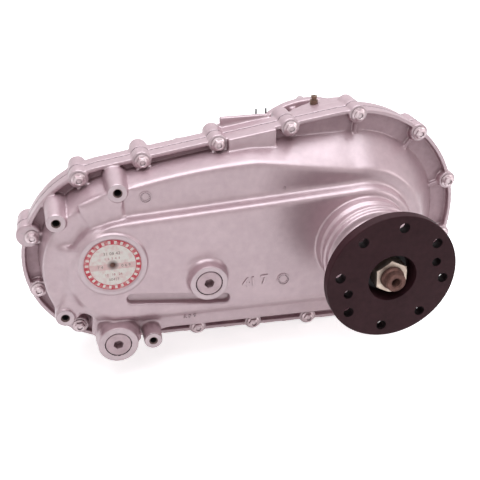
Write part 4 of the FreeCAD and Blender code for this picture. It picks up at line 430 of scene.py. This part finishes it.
finishes = {
    "cast_aluminium": surface("castAluminium", castFinish),
    "zinc_steel": surface("zincSteel", boltFinish),
    "plug_steel": surface("plugSteel", plugFinish),
    "black_steel": surface("blackFlange", flangeFinish),
    "nut_zinc": surface("yellowZinc", nutFinish),
    "shaft_steel": surface("rustyShaft", shaftFinish),
    "gear_steel": surface("gearSteel", steelFinish),
    "bearing_steel": surface("groundSteel", groundFinish),
    "bronze": surface("bronze", bronzeFinish),
    "seal_rubber": surface("sealRubber", rubberFinish),
    "sealant": surface("sealant", sealantFinish),
    "label_print": labelMaterial(),
    "chain_steel": surface("chainSteel", chainFinish),
    "fork_alloy": surface("forkAlloy", dict(castFinish, patch=50.0)),
    "pump_iron": surface("pumpIron", ironFinish),
    "tube_steel": surface("tubeSteel", dict(steelFinish, patch=90.0)),
    "strainer_plastic": surface("strainerPlastic", plasticFinish),
    "magnet": surface("magnet", dict(ironFinish, patch=120.0)),
    "switch_plastic": surface("switchPlastic", switchFinish),
}
machined = surface("machinedAluminium", machinedFinish)
pocketDirtAndShade = surface("pocketDirtAndShade", pocketDirtShadeFinish)
boreShade = threadBump(surface("threadedHoleShade", boreShadeFinish), 1.5 * mm)
threadLit = threadBump(surface("threadLit", threadFinish), 1.25 * mm)
flangeHoleShade = surface("flangeHoleShade", flangeHoleShadeFinish)
ventRust = surface("ventRust", ventFinish)
threadBump(finishes["shaft_steel"], 1.5 * mm)
slotOf = {entry["node"]: entry["material_slot"] for entry in frame["record"]["subparts"]}
for name, piece in frame["nodes"].items():
    piece.data.materials.clear()
    piece.data.materials.append(ventRust if name == "vent" else finishes[slotOf[name]])
print("stage: materials made")


# geometry helpers
def link(name, mesh):
    piece = bpy.data.objects.new(name, mesh)
    bpy.context.scene.collection.objects.link(piece)
    return piece


def mergedCopy(node):
    # a copy of a piece of the part, with its loose triangles joined
    mesh = frame["nodes"][node].data.copy()
    shape = bmesh.new()
    shape.from_mesh(mesh)
    bmesh.ops.remove_doubles(shape, verts=shape.verts, dist=0.002 * mm)
    shape.to_mesh(mesh)
    shape.free()
    mesh.materials.clear()
    return mesh


def applied(piece):
    # turn the modifiers into the mesh itself
    seen = piece.evaluated_get(bpy.context.evaluated_depsgraph_get())
    mesh = bpy.data.meshes.new_from_object(seen)
    piece.modifiers.clear()
    old = piece.data
    piece.data = mesh
    bpy.data.meshes.remove(old)
    return piece


def coordinates(mesh):
    flat = np.zeros(len(mesh.vertices) * 3)
    mesh.vertices.foreach_get("co", flat)
    return flat.reshape(-1, 3) / mm


def nearAxis(points, centre, radius):
    return np.hypot(points[:, 0] - centre[0], points[:, 2] - centre[1]) < radius


boltSearch = {"above": 5.0, "apart": 20.0}  # in millimetres


def boltPlaces():
    # the middle of each bolt head, found from the heads' own points
    points = coordinates(frame["nodes"]["case_bolts"].data)
    heads = points[points[:, 1] < seatY - boltSearch["above"]]
    groups = []
    for point in heads:
        spot = np.array((point[0], point[2]))
        near = [group for group in groups if np.hypot(*(group[0] - spot)) < boltSearch["apart"]]
        if near:
            near[0].append(spot)
        else:
            groups.append([spot])
    return [tuple((np.max(group, axis=0) + np.min(group, axis=0)) / 2.0) for group in groups]


boltCentres = boltPlaces()


def overJoint(points):
    # how far a point stands outside the joint's outline, seen along the main shaft
    (mainPlace, mainRadius), (leftPlace, leftRadius) = jointMain, jointLeft
    across = np.array(leftPlace) - np.array(mainPlace)
    reach = np.hypot(*across)
    along = across / reach
    spot = points[:, (0, 2)] - np.array(mainPlace)
    ahead = spot @ along
    side = np.abs(spot @ np.array((-along[1], along[0])))
    lean = (mainRadius - leftRadius) / reach
    level = math.sqrt(1.0 - lean * lean)
    edge = side * level + ahead * lean - mainRadius
    turn = ahead * level - side * lean
    edge = np.where(turn < 0.0, np.hypot(ahead, side) - mainRadius, edge)
    return np.where(turn > level * reach, np.hypot(ahead - reach, side) - leftRadius, edge)


# how far the crisp edges, the wide rounding and the paint reach on the casings, in millimetres
rearZones = {
    "bossFace": 11.5, "bossBore": 6.0, "plugFace": 22.0, "labelBoss": 36.0, "labelBore": 21.0,
    "outputFace": 55.0, "outputBore": 44.5, "seatWall": 15.5, "seatInward": 4.5, "jointDepth": 0.8,
    "wideFrom": -156.0, "wideFade": 10.0, "wideBoss": 13.0, "widePlug": 24.5, "wideLabel": 39.0,
    "wideOutput": 51.5, "ringFade": 5.0, "outputFade": 3.0,
    "seatRing": 9.6, "bossRing": 9.4, "boreRing": 4.4, "plugRing": 20.5, "labelRing": 33.0,
    "pocketFloor": 2.6, "pocketTop": -139.0, "pocketEdge": -3.4, "pocketWall": -6.0,
}
grooveZone = {
    "centre": (-193.0, -44.0), "slope": 0.128, "half": 54.0, "width": 7.5, "spanFade": 5.0, "dropFade": 4.0,
}
frontZones = {
    "flangeFrom": -132.5, "gearHousing": 72.5, "adapter": 97.0, "adapterFrom": -15.0,
    "frontHousing": 43.5, "boltBoss": 6.0,
    "pickup": ((-100.0, 45.0), 9.0), "selector": ((-128.0, -78.0), 16.0, 66.0),
    "blockFrom": (112.0, -122.0),
}


def firmRear(points):
    # parts of the rear half that keep crisp edges: the joint with its lip, machined faces and bores
    zone = rearZones
    y = points[:, 1]
    firm = y > seatY - zone["jointDepth"]
    outside = overJoint(points)
    for centre in boltCentres:
        # the wall beside a bolt's seat is cast, so its corners are soft
        seat = overJoint(np.array([[centre[0], 0.0, centre[1]]]))[0]
        inward = outside < seat - zone["seatInward"]
        firm &= ~(inward & nearAxis(points, centre, zone["seatWall"]) & (y < seatY + 2.0))
    for x, z, face in tappedBosses:
        firm |= nearAxis(points, (x, z), zone["bossFace"]) & (y < face + 2.0)
        firm |= nearAxis(points, (x, z), zone["bossBore"])
    for x, z, face in (fillPlug, drainPlug):
        firm |= nearAxis(points, (x, z), zone["plugFace"]) & (y < face + 1.5)
        firm |= nearAxis(points, (x, z), plugRadius + 1.5)
    firm |= nearAxis(points, frontAxis, zone["labelBoss"]) & (y < faceY - 0.5)
    firm |= nearAxis(points, mainAxis, zone["outputFace"]) & (y < faceY - 8.0)
    firm |= nearAxis(points, mainAxis, zone["outputBore"])
    firm |= nearAxis(points, frontAxis, zone["labelBore"]) & (y > faceY + 4.0)
    return firm


def firmFront(points):
    # parts of the front half that keep crisp edges: the joint, bearing housings, bosses and the block
    zone = frontZones
    y = points[:, 1]
    firm = y < zone["flangeFrom"]
    firm |= nearAxis(points, mainAxis, zone["gearHousing"])
    firm |= nearAxis(points, mainAxis, zone["adapter"]) & (y > zone["adapterFrom"])
    firm |= nearAxis(points, frontAxis, zone["frontHousing"])
    firm |= nearAxis(points, *zone["pickup"])
    (selectorX, selectorY), radius, above = zone["selector"]
    firm |= (np.hypot(points[:, 0] - selectorX, y - selectorY) < radius) & (points[:, 2] > above)
    for centre in boltCentres:
        firm |= nearAxis(points, centre, zone["boltBoss"])
    blockZ, blockY = zone["blockFrom"]
    firm |= (points[:, 2] > blockZ) & (y > blockY)
    return firm


def broadRear(points):
    # how much each point of the rear half takes part in the wide rounding of its shoulders, from 0 to 1
    zone = rearZones
    share = np.clip((zone["wideFrom"] - points[:, 1]) / zone["wideFade"], 0.0, 1.0)
    for x, z, face in tappedBosses:
        share = np.minimum(share, awayFrom(points, (x, z), zone["wideBoss"], zone["ringFade"]))
    for x, z, face in (fillPlug, drainPlug):
        share = np.minimum(share, awayFrom(points, (x, z), zone["widePlug"], zone["ringFade"]))
    share = np.minimum(share, awayFrom(points, frontAxis, zone["wideLabel"], zone["ringFade"]))
    share = np.minimum(share, awayFrom(points, mainAxis, zone["wideOutput"], zone["outputFade"]))
    grooveX, grooveZ = grooveZone["centre"]
    ahead = points[:, 0] - grooveX
    grooveSpan = np.clip((np.abs(ahead) - grooveZone["half"]) / grooveZone["spanFade"], 0.0, 1.0)
    drop = np.abs(points[:, 2] - grooveZ + ahead * grooveZone["slope"])
    grooveDrop = np.clip((drop - grooveZone["width"]) / grooveZone["dropFade"], 0.0, 1.0)
    return np.minimum(share, np.maximum(grooveSpan, grooveDrop))


def awayFrom(points, centre, radius, fade):
    # 0 inside a circle, rising to 1 over the fade outside it
    reach = np.hypot(points[:, 0] - centre[0], points[:, 2] - centre[1])
    return np.clip((reach - radius) / fade, 0.0, 1.0)


casting = {
    "rearVoxel": 0.9 * mm, "frontVoxel": 1.2 * mm, "quickVoxel": 1.9 * mm,
    "tunedVoxel": 0.95 * mm,  # the voxel that the numbers of passes are meant for
    "firmPasses": 2, "softPasses": 16, "broadPasses": 110, "triangles": 190000,
}


def softened(node, name, voxel, firmTest, broadTest=None):
    # the half casing with rounded cast edges, remade as an even mesh and smoothed
    piece = link(name, mergedCopy(node))
    remesh = piece.modifiers.new("remesh", "REMESH")
    remesh.mode = "VOXEL"
    remesh.voxel_size = voxel
    applied(piece)
    points = coordinates(piece.data)
    firm = firmTest(points)
    group = piece.vertex_groups.new(name="soft")
    group.add([int(index) for index in np.nonzero(~firm)[0]], 1.0, "REPLACE")
    first = piece.modifiers.new("first", "SMOOTH")
    first.factor = 0.5
    first.iterations = casting["firmPasses"]
    second = piece.modifiers.new("second", "SMOOTH")
    second.factor = 0.5
    second.iterations = int(casting["softPasses"] * (casting["tunedVoxel"] / voxel) ** 2) + 1
    second.vertex_group = "soft"
    if broadTest:
        # the weights are kept as a few even steps
        levels = np.round(broadTest(points) * 8.0) / 8.0
        wide = piece.vertex_groups.new(name="wide")
        for level in np.unique(levels[levels > 0.0]):
            wide.add([int(index) for index in np.nonzero(levels == level)[0]], float(level), "REPLACE")
        third = piece.modifiers.new("third", "SMOOTH")
        third.factor = 0.5
        third.iterations = int(casting["broadPasses"] * (casting["tunedVoxel"] / voxel) ** 2) + 1
        third.vertex_group = "wide"
    applied(piece)
    piece.vertex_groups.clear()
    count = sum(len(p.vertices) - 2 for p in piece.data.polygons)
    if count > casting["triangles"]:
        lighter = piece.modifiers.new("lighter", "DECIMATE")
        lighter.ratio = casting["triangles"] / count
        applied(piece)
    piece.data.polygons.foreach_set("use_smooth", [True] * len(piece.data.polygons))
    print("casing", name, "triangles", sum(len(p.vertices) - 2 for p in piece.data.polygons))
    return piece


def paintFaces(piece, materials, pick):
    # pick gives each face centre and normal a material number
    for material in materials:
        piece.data.materials.append(material)
    count = len(piece.data.polygons)
    centres = np.zeros(count * 3)
    normals = np.zeros(count * 3)
    piece.data.polygons.foreach_get("center", centres)
    piece.data.polygons.foreach_get("normal", normals)
    numbers = pick(centres.reshape(-1, 3) / mm, normals.reshape(-1, 3))
    piece.data.polygons.foreach_set("material_index", numbers.astype(np.int32))
    piece.data.update()


def rearPaint(centres, normals):
    # cast skin 0, machined 1, painted shade in the bores 2, dirt and painted shade in the trough's pockets
    # 3
    zone = rearZones
    numbers = np.zeros(len(centres), int)
    y = centres[:, 1]
    facing = normals[:, 1] < -0.8
    outside = overJoint(centres)
    for centre in boltCentres:
        numbers[nearAxis(centres, centre, zone["seatRing"]) & facing & (y < seatY + 1.2)] = 1
    # pocket floors and walls get the darker pocket material: dirt plus painted shade
    pocket = (y > seatY + zone["pocketFloor"]) & (y < zone["pocketTop"]) & (outside < zone["pocketEdge"])
    numbers[pocket & (facing | (outside > zone["pocketWall"]))] = 3
    for x, z, face in tappedBosses:
        numbers[nearAxis(centres, (x, z), zone["bossRing"]) & facing & (y < face + 1.2)] = 1
        # bore walls and the gap round each plug are painted dark as shade
        numbers[nearAxis(centres, (x, z), zone["boreRing"]) & (y > face + 1.3)] = 2
    for x, z, face in (fillPlug, drainPlug):
        numbers[nearAxis(centres, (x, z), zone["plugRing"]) & facing & (y < face + 1.2)] = 1
        numbers[nearAxis(centres, (x, z), plugRadius + 0.4) & (y > face + 0.6)] = 2
    numbers[nearAxis(centres, frontAxis, zone["labelRing"]) & facing & (y < faceY - 0.8)] = 1
    return numbers


rearCast = softened("rear_case", "rearCasing", casting["rearVoxel"], firmRear, broadRear)
paintFaces(rearCast, [finishes["cast_aluminium"], machined, boreShade, pocketDirtAndShade], rearPaint)
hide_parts("rear_case")
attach(rearCast, "case")
print("stage: rear casing softened")

frontCast = softened("front_case", "frontCasing", casting["frontVoxel"], firmFront)
frontCast.data.materials.append(finishes["cast_aluminium"])
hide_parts("front_case")
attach(frontCast, "case")
print("stage: front casing softened")


edgeLook = {"flatAngle": 1.5, "edgeAngle": 28.0, "sharpAngle": 34.0, "segments": 2}  # angles in degrees


def bevelled(node, name, width, body, material):
    # a copy of a machined piece with small rounded edges
    mesh = mergedCopy(node)
    shape = bmesh.new()
    shape.from_mesh(mesh)
    bmesh.ops.dissolve_limit(shape, angle_limit=math.radians(edgeLook["flatAngle"]),
                             verts=shape.verts, edges=shape.edges)
    shape.to_mesh(mesh)
    shape.free()
    piece = link(name, mesh)
    edge = piece.modifiers.new("edge", "BEVEL")
    edge.width = width
    edge.segments = edgeLook["segments"]
    edge.limit_method = "ANGLE"
    edge.angle_limit = math.radians(edgeLook["edgeAngle"])
    applied(piece)
    shape = bmesh.new()
    shape.from_mesh(piece.data)
    bmesh.ops.triangulate(shape, faces=shape.faces)
    for side in shape.faces:
        side.smooth = True
    for line in shape.edges:
        if len(line.link_faces) == 2 and line.calc_face_angle(0.0) > math.radians(edgeLook["sharpAngle"]):
            line.smooth = False
    shape.to_mesh(piece.data)
    shape.free()
    flat = piece.modifiers.new("flat", "WEIGHTED_NORMAL")
    flat.keep_sharp = True
    flat.weight = 90
    applied(piece)
    piece.data.materials.append(material)
    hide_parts(node)
    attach(piece, body)
    return piece


# node, name of its piece, width of the rounded edges in millimetres, body
bevelPieces = (
    ("case_bolts", "caseBolts", 0.35, "case"),
    ("output_flange", "outputFlange", 0.6, "rear_output"),
    ("flange_nut", "flangeNut", 0.5, "rear_output"),
    ("fill_plug", "fillPlug", 0.35, "case"),
    ("drain_plug", "drainPlug", 0.35, "case"),
    ("front_output_flange", "frontOutputFlange", 0.6, "front_output"),
    ("front_flange_nut", "frontFlangeNut", 0.5, "front_output"),
    ("shift_lever", "shiftLever", 0.5, "selector"),
    ("lever_nut", "leverNut", 0.4, "selector"),
    ("adapter_studs", "adapterStuds", 0.3, "case"),
)
dressed = {}
for node, name, width, body in bevelPieces:
    dressed[node] = bevelled(node, name, width * mm, body, finishes[slotOf[node]])


def holeWalls(piece, centre, near, far):
    # the walls of the bolt holes in a flange, between two radii from its middle, are painted near black as
    # shade
    piece.data.materials.append(flangeHoleShade)
    for side in piece.data.polygons:
        reach = math.hypot(side.center.x / mm - centre[0], side.center.z / mm - centre[1])
        if near < reach < far and abs(side.normal.y) < 0.5:
            side.material_index = 1


# corners of the rim as (radius, place along the shaft from the head's top), in millimetres
boltRim = ((2.5, 0.15), (2.9, -0.4), (3.8, -0.4), (4.4, 0.15))


def boltRims():
    # the raised rim round the dished top of each case bolt's head
    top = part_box("case_bolts")[0][1] / mm
    shape = bmesh.new()
    for x, z in boltCentres:
        corners = [shape.verts.new(((x + radius) * mm, (top + rise) * mm, z * mm))
                   for radius, rise in boltRim]
        lines = [shape.edges.new(pair) for pair in zip(corners, corners[1:] + corners[:1])]
        bmesh.ops.spin(shape, geom=corners + lines, cent=Vector((x, 0.0, z)) * mm,
                       axis=(0.0, 1.0, 0.0), angle=math.tau, steps=32, use_merge=True)
    bmesh.ops.remove_doubles(shape, verts=shape.verts, dist=0.001 * mm)
    bmesh.ops.recalc_face_normals(shape, faces=shape.faces)
    mesh = bpy.data.meshes.new("boltRims")
    shape.to_mesh(mesh)
    shape.free()
    mesh.materials.append(finishes["zinc_steel"])
    piece = link("boltRims", mesh)
    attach(piece, "case")


boltRims()
holeWalls(dressed["output_flange"], mainAxis, 34.0, 61.0)
holeWalls(dressed["front_output_flange"], frontAxis, 29.0, 44.0)
print("stage: small pieces bevelled")


def spun(name, profile, centre, materials, pick):
    # a turned piece from (radius, y) points round an axis along Y, in millimetres
    shape = bmesh.new()
    points = [shape.verts.new(((centre[0] + radius) * mm, y * mm, centre[1] * mm))
              for radius, y in profile]
    lines = [shape.edges.new(pair) for pair in zip(points, points[1:])]
    bmesh.ops.spin(shape, geom=points + lines, cent=Vector((centre[0], 0.0, centre[1])) * mm,
                   axis=(0.0, 1.0, 0.0), angle=math.tau, steps=48, use_merge=True)
    bmesh.ops.remove_doubles(shape, verts=shape.verts, dist=0.001 * mm)
    bmesh.ops.recalc_face_normals(shape, faces=shape.faces)
    mesh = bpy.data.meshes.new(name)
    shape.to_mesh(mesh)
    shape.free()
    for material in materials:
        mesh.materials.append(material)
    for side in mesh.polygons:
        side.material_index = pick(side)
    return link(name, mesh)


tappedHole = {"boss": 9.2, "bore": 3.4, "sink": 1.1, "depth": 20.0, "rim": 0.5, "proud": 0.06, "lit": 3.2}


def tappedFace(index, x, z, face):
    # the machined end of a tapped boss, with its countersink and threaded bore
    hole = tappedHole
    top = face - hole["proud"]
    edge = hole["boss"] - hole["rim"]
    # lit is how far down the painted highlight on the first threads reaches
    lit = top + hole["lit"]
    profile = [(edge + 0.25, top + 0.6), (edge, top), (hole["bore"] + hole["sink"], top),
               (hole["bore"], top + hole["sink"]), (hole["bore"], lit),
               (hole["bore"], top + hole["depth"]), (0.0, top + hole["depth"] + 1.0)]

    def finishOf(side):
        # the face is machined, the first threads get a painted highlight in a lighter material and the rest
        # are painted dark as shade
        deep = side.center.y / mm
        return int(top + 0.3 < deep < top + hole["depth"]) + int(deep > lit)

    piece = spun("tappedFace%d" % index, profile, (x, z), [machined, threadLit, boreShade], finishOf)
    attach(piece, "case")


for index, (x, z, face) in enumerate(tappedBosses):
    tappedFace(index + 1, x, z, face)
rustFloor = labelPrint["face"] / mm
rustProfile = [(2.5, rustFloor + 0.35), (2.3, rustFloor + 0.15), (0.0, rustFloor + 0.1)]
rustSpot = spun("labelRust", rustProfile, frontAxis, [finishes["shaft_steel"]], lambda side: 0)
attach(rustSpot, "case")
print("stage: tapped faces made")


# printed figures on the label and raised casting figures
def figures(name, words, size, depth, place, material, turn=0.0, slope=(0.0, -1.0, 0.0), bold=0.0):
    # thin figures that face backwards, leaned to the slope of the surface under them
    curve = bpy.data.curves.new(name, "FONT")
    curve.body = words
    curve.size = size * mm
    curve.extrude = depth * mm / 2.0
    curve.offset = bold * mm
    curve.align_x = "CENTER"
    curve.align_y = "CENTER"
    curve.resolution_u = 3
    writing = link(name, curve)
    mesh = bpy.data.meshes.new_from_object(writing.evaluated_get(bpy.context.evaluated_depsgraph_get()))
    bpy.data.objects.remove(writing)
    upright = Matrix.Rotation(math.radians(turn), 4, "Y") @ Matrix.Rotation(math.radians(90.0), 4, "X")
    lean = Vector((0.0, -1.0, 0.0)).rotation_difference(Vector(slope)).to_matrix().to_4x4()
    mesh.transform(Matrix.Translation(Vector(place) * mm) @ lean @ upright)
    mesh.materials.clear()
    mesh.materials.append(material)
    piece = link(name, mesh)
    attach(piece, "case")
    return piece


redInk = surface("labelInk", {
    "light": (0.5, 0.05, 0.06), "dark": (0.36, 0.09, 0.09), "shade": (0.3, 0.05, 0.05),
    "metallic": 0.0, "roughness": (0.4, 0.5),
    "patch": 300.0, "fine": 900.0, "bump": 0.05, "corner": 1.0 * mm,
})
darkInk = surface("labelDarkInk", {
    "light": (0.2, 0.12, 0.1), "dark": (0.36, 0.25, 0.2), "shade": (0.1, 0.06, 0.05),
    "metallic": 0.0, "roughness": (0.4, 0.5),
    "patch": 320.0, "fine": 900.0, "bump": 0.05, "corner": 1.0 * mm,
})
labelY = labelPrint["face"] / mm - 0.03
# figures of each row, size, place as (x, z), ink
labelRows = (
    ("31 08 42", 4.6, (-256.0, 17.5), darkInk), ("1  2  3  4  5", 3.2, (-256.0, 12.2), redInk),
    ("0 6 9", 4.4, (-243.5, 3.4), darkInk), ("7 4", 4.4, (-268.0, 3.4), darkInk),
    ("12   18   24", 3.6, (-256.0, -5.5), redInk), ("00417", 4.0, (-256.0, -11.0), darkInk),
)
for index, (words, size, (x, z), ink) in enumerate(labelRows):
    figures("labelRow%d" % (index + 1), words, size, 0.05, (x, labelY, z), ink)
casingSkin = BVHTree.FromObject(rearCast, bpy.context.evaluated_depsgraph_get())


def onCasing(x, z):
    # where a line along the main shaft meets the rear casing from behind, and the slope there
    start = Vector((x, -300.0, z)) * mm
    spot, slope = casingSkin.ray_cast(start, Vector((0.0, 1.0, 0.0)))[:2]
    return spot / mm, slope


# name, figures, size, place as (x, z), turn in degrees
castMarks = (
    ("castFigures", "41 7", 15.0, (-114.0, -34.0), -4.0), ("castLot", "8", 5.0, (-81.0, 61.4), 0.0),
    ("castCode", "2 5 0", 6.5, (-181.0, -75.0), 0.0),
)
# the cast figures take a darker shade colour with a short reach: painted shade round their feet
castMarking = surface("castMarking", dict(castFinish, corner=1.4 * mm, shade=(0.09, 0.045, 0.055)))
for name, words, size, (x, z), turn in castMarks:
    spot, slope = onCasing(x, z)
    figures(name, words, size, 2.2, spot, castMarking, turn, slope, bold=size * 0.025)


clockMark = {
    "height": 0.9 * mm, "ringInside": 0.87, "dots": 12, "dotCircle": 0.66,
    "dotFoot": 0.85 * mm, "dotTop": 0.6 * mm, "dotDepth": 1.8 * mm,
}


def dateClock(name, x, z, radius):
    # a raised ring with small dots, like the date mark of a mould
    spot, slope = onCasing(x, z)
    lean = Vector((0.0, 0.0, 1.0)).rotation_difference(slope).to_matrix().to_4x4()
    turn = Matrix.Translation(spot * mm) @ lean
    shape = bmesh.new()
    ring = bmesh.ops.create_circle(shape, segments=40, radius=radius * mm)["verts"]
    lines = list({line for point in ring for line in point.link_edges})
    wide = bmesh.ops.extrude_edge_only(shape, edges=lines)["geom"]
    inner = [item for item in wide if isinstance(item, bmesh.types.BMVert)]
    bmesh.ops.scale(shape, vec=(clockMark["ringInside"], clockMark["ringInside"], 1.0), verts=inner)
    sides = bmesh.ops.extrude_face_region(shape, geom=shape.faces[:])["geom"]
    raised = [item for item in sides if isinstance(item, bmesh.types.BMVert)]
    bmesh.ops.translate(shape, vec=(0.0, 0.0, clockMark["height"]), verts=raised)
    reach = radius * clockMark["dotCircle"] * mm
    for step in range(clockMark["dots"]):
        way = math.tau * step / clockMark["dots"]
        dot = Matrix.Translation(Vector((math.cos(way), math.sin(way), 0.0)) * reach)
        bmesh.ops.create_cone(shape, cap_ends=True, segments=8, radius1=clockMark["dotFoot"],
                              radius2=clockMark["dotTop"], depth=clockMark["dotDepth"], matrix=dot)
    bmesh.ops.transform(shape, matrix=turn, verts=shape.verts)
    bmesh.ops.recalc_face_normals(shape, faces=shape.faces)
    mesh = bpy.data.meshes.new(name)
    shape.to_mesh(mesh)
    shape.free()
    mesh.materials.append(castMarking)
    piece = link(name, mesh)
    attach(piece, "case")


dateClock("dateClock", -84.0, -35.3, 6.8)
dateClock("castRosette", -219.0, 66.0, 6.0)
print("stage: figures placed")


# floor, light and camera
stageLook = {
    "floor": (0.86, 0.85, 0.85), "size": 9.0, "glow": 0.7,
    "world": (1.0, 0.985, 0.99), "worldStrength": 0.21, "seenStrength": 1.0,
}
lamps = (
    {"name": "keyLamp", "place": (-0.9, -1.1, 1.9), "size": 1.3, "power": 5.4, "tint": (1.0, 0.95, 0.95)},
    {"name": "topLamp", "place": (-0.1, 0.08, 1.5), "size": 1.9, "power": 37.0, "tint": (0.9, 0.96, 1.0)},
    {"name": "sideLamp", "place": (1.5, -0.8, 0.7), "size": 0.9, "power": 6.0, "tint": (1.0, 0.97, 0.97)},
)
aim = (-0.125, -0.14, 0.0)
photoCamera = {
    "place": (-0.2726, -0.8099, 0.3530), "right": (0.9740, -0.2266, 0.0), "up": (0.1069, 0.4596, 0.8817),
    "back": (-0.1998, -0.8587, 0.4719), "lens": 54.0, "sensor": 36.0,
}


def makeFloor():
    low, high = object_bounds()
    shape = bmesh.new()
    bmesh.ops.create_grid(shape, x_segments=1, y_segments=1, size=stageLook["size"] / 2.0)
    mesh = bpy.data.meshes.new("floor")
    shape.to_mesh(mesh)
    shape.free()
    mesh.transform(Matrix.Translation((0.0, 0.0, low.z - 0.5 * mm)))
    floor = link("floor", mesh)
    material = bpy.data.materials.new("floorWhite")
    material.use_nodes = True
    tree = material.node_tree
    shader = tree.nodes["Principled BSDF"]
    shader.inputs["Base Color"].default_value = (*stageLook["floor"], 1.0)
    shader.inputs["Roughness"].default_value = 0.7
    seen = tree.nodes.new("ShaderNodeLightPath")
    shown = mathNode(tree, "MAXIMUM", seen.outputs["Is Camera Ray"], seen.outputs["Is Glossy Ray"])
    shown = mathNode(tree, "MAXIMUM", shown, seen.outputs["Is Transmission Ray"])
    glow = mathNode(tree, "MULTIPLY", shown, stageLook["glow"])
    tree.links.new(glow, shader.inputs["Emission Strength"])
    shader.inputs["Emission Color"].default_value = (1.0, 1.0, 1.0, 1.0)
    mesh.materials.append(material)


makeFloor()
world = bpy.data.worlds.new("studio")
bpy.context.scene.world = world
world.use_nodes = True
sky = world.node_tree
background = sky.nodes["Background"]
background.inputs["Color"].default_value = (*stageLook["world"], 1.0)
rays = sky.nodes.new("ShaderNodeLightPath")
seenRays = mathNode(sky, "MAXIMUM", rays.outputs["Is Camera Ray"], rays.outputs["Is Glossy Ray"])
seenRays = mathNode(sky, "MAXIMUM", seenRays, rays.outputs["Is Transmission Ray"])
extra = mathNode(sky, "MULTIPLY", seenRays, stageLook["seenStrength"] - stageLook["worldStrength"])
strength = mathNode(sky, "ADD", extra, stageLook["worldStrength"])
sky.links.new(strength, background.inputs["Strength"])
for lamp in lamps:
    light = bpy.data.lights.new(lamp["name"], "AREA")
    light.size = lamp["size"]
    light.energy = lamp["power"]
    light.color = lamp["tint"]
    holder = link(lamp["name"], light)
    holder.location = lamp["place"]
    direction = Vector(aim) - Vector(lamp["place"])
    holder.rotation_euler = direction.to_track_quat("-Z", "Y").to_euler()
view = bpy.data.cameras.new("photoCamera")
view.lens = photoCamera["lens"]
view.sensor_width = photoCamera["sensor"]
view.clip_start = 0.01
holder = link("photoCamera", view)
columns = [Vector(photoCamera[key]) for key in ("right", "up", "back")]
turn = Matrix((columns[0], columns[1], columns[2])).transposed().to_4x4()
holder.matrix_world = Matrix.Translation(photoCamera["place"]) @ turn
bpy.context.scene.camera = holder
bpy.context.scene.view_settings.view_transform = "Standard"
print("stage: light and camera set")
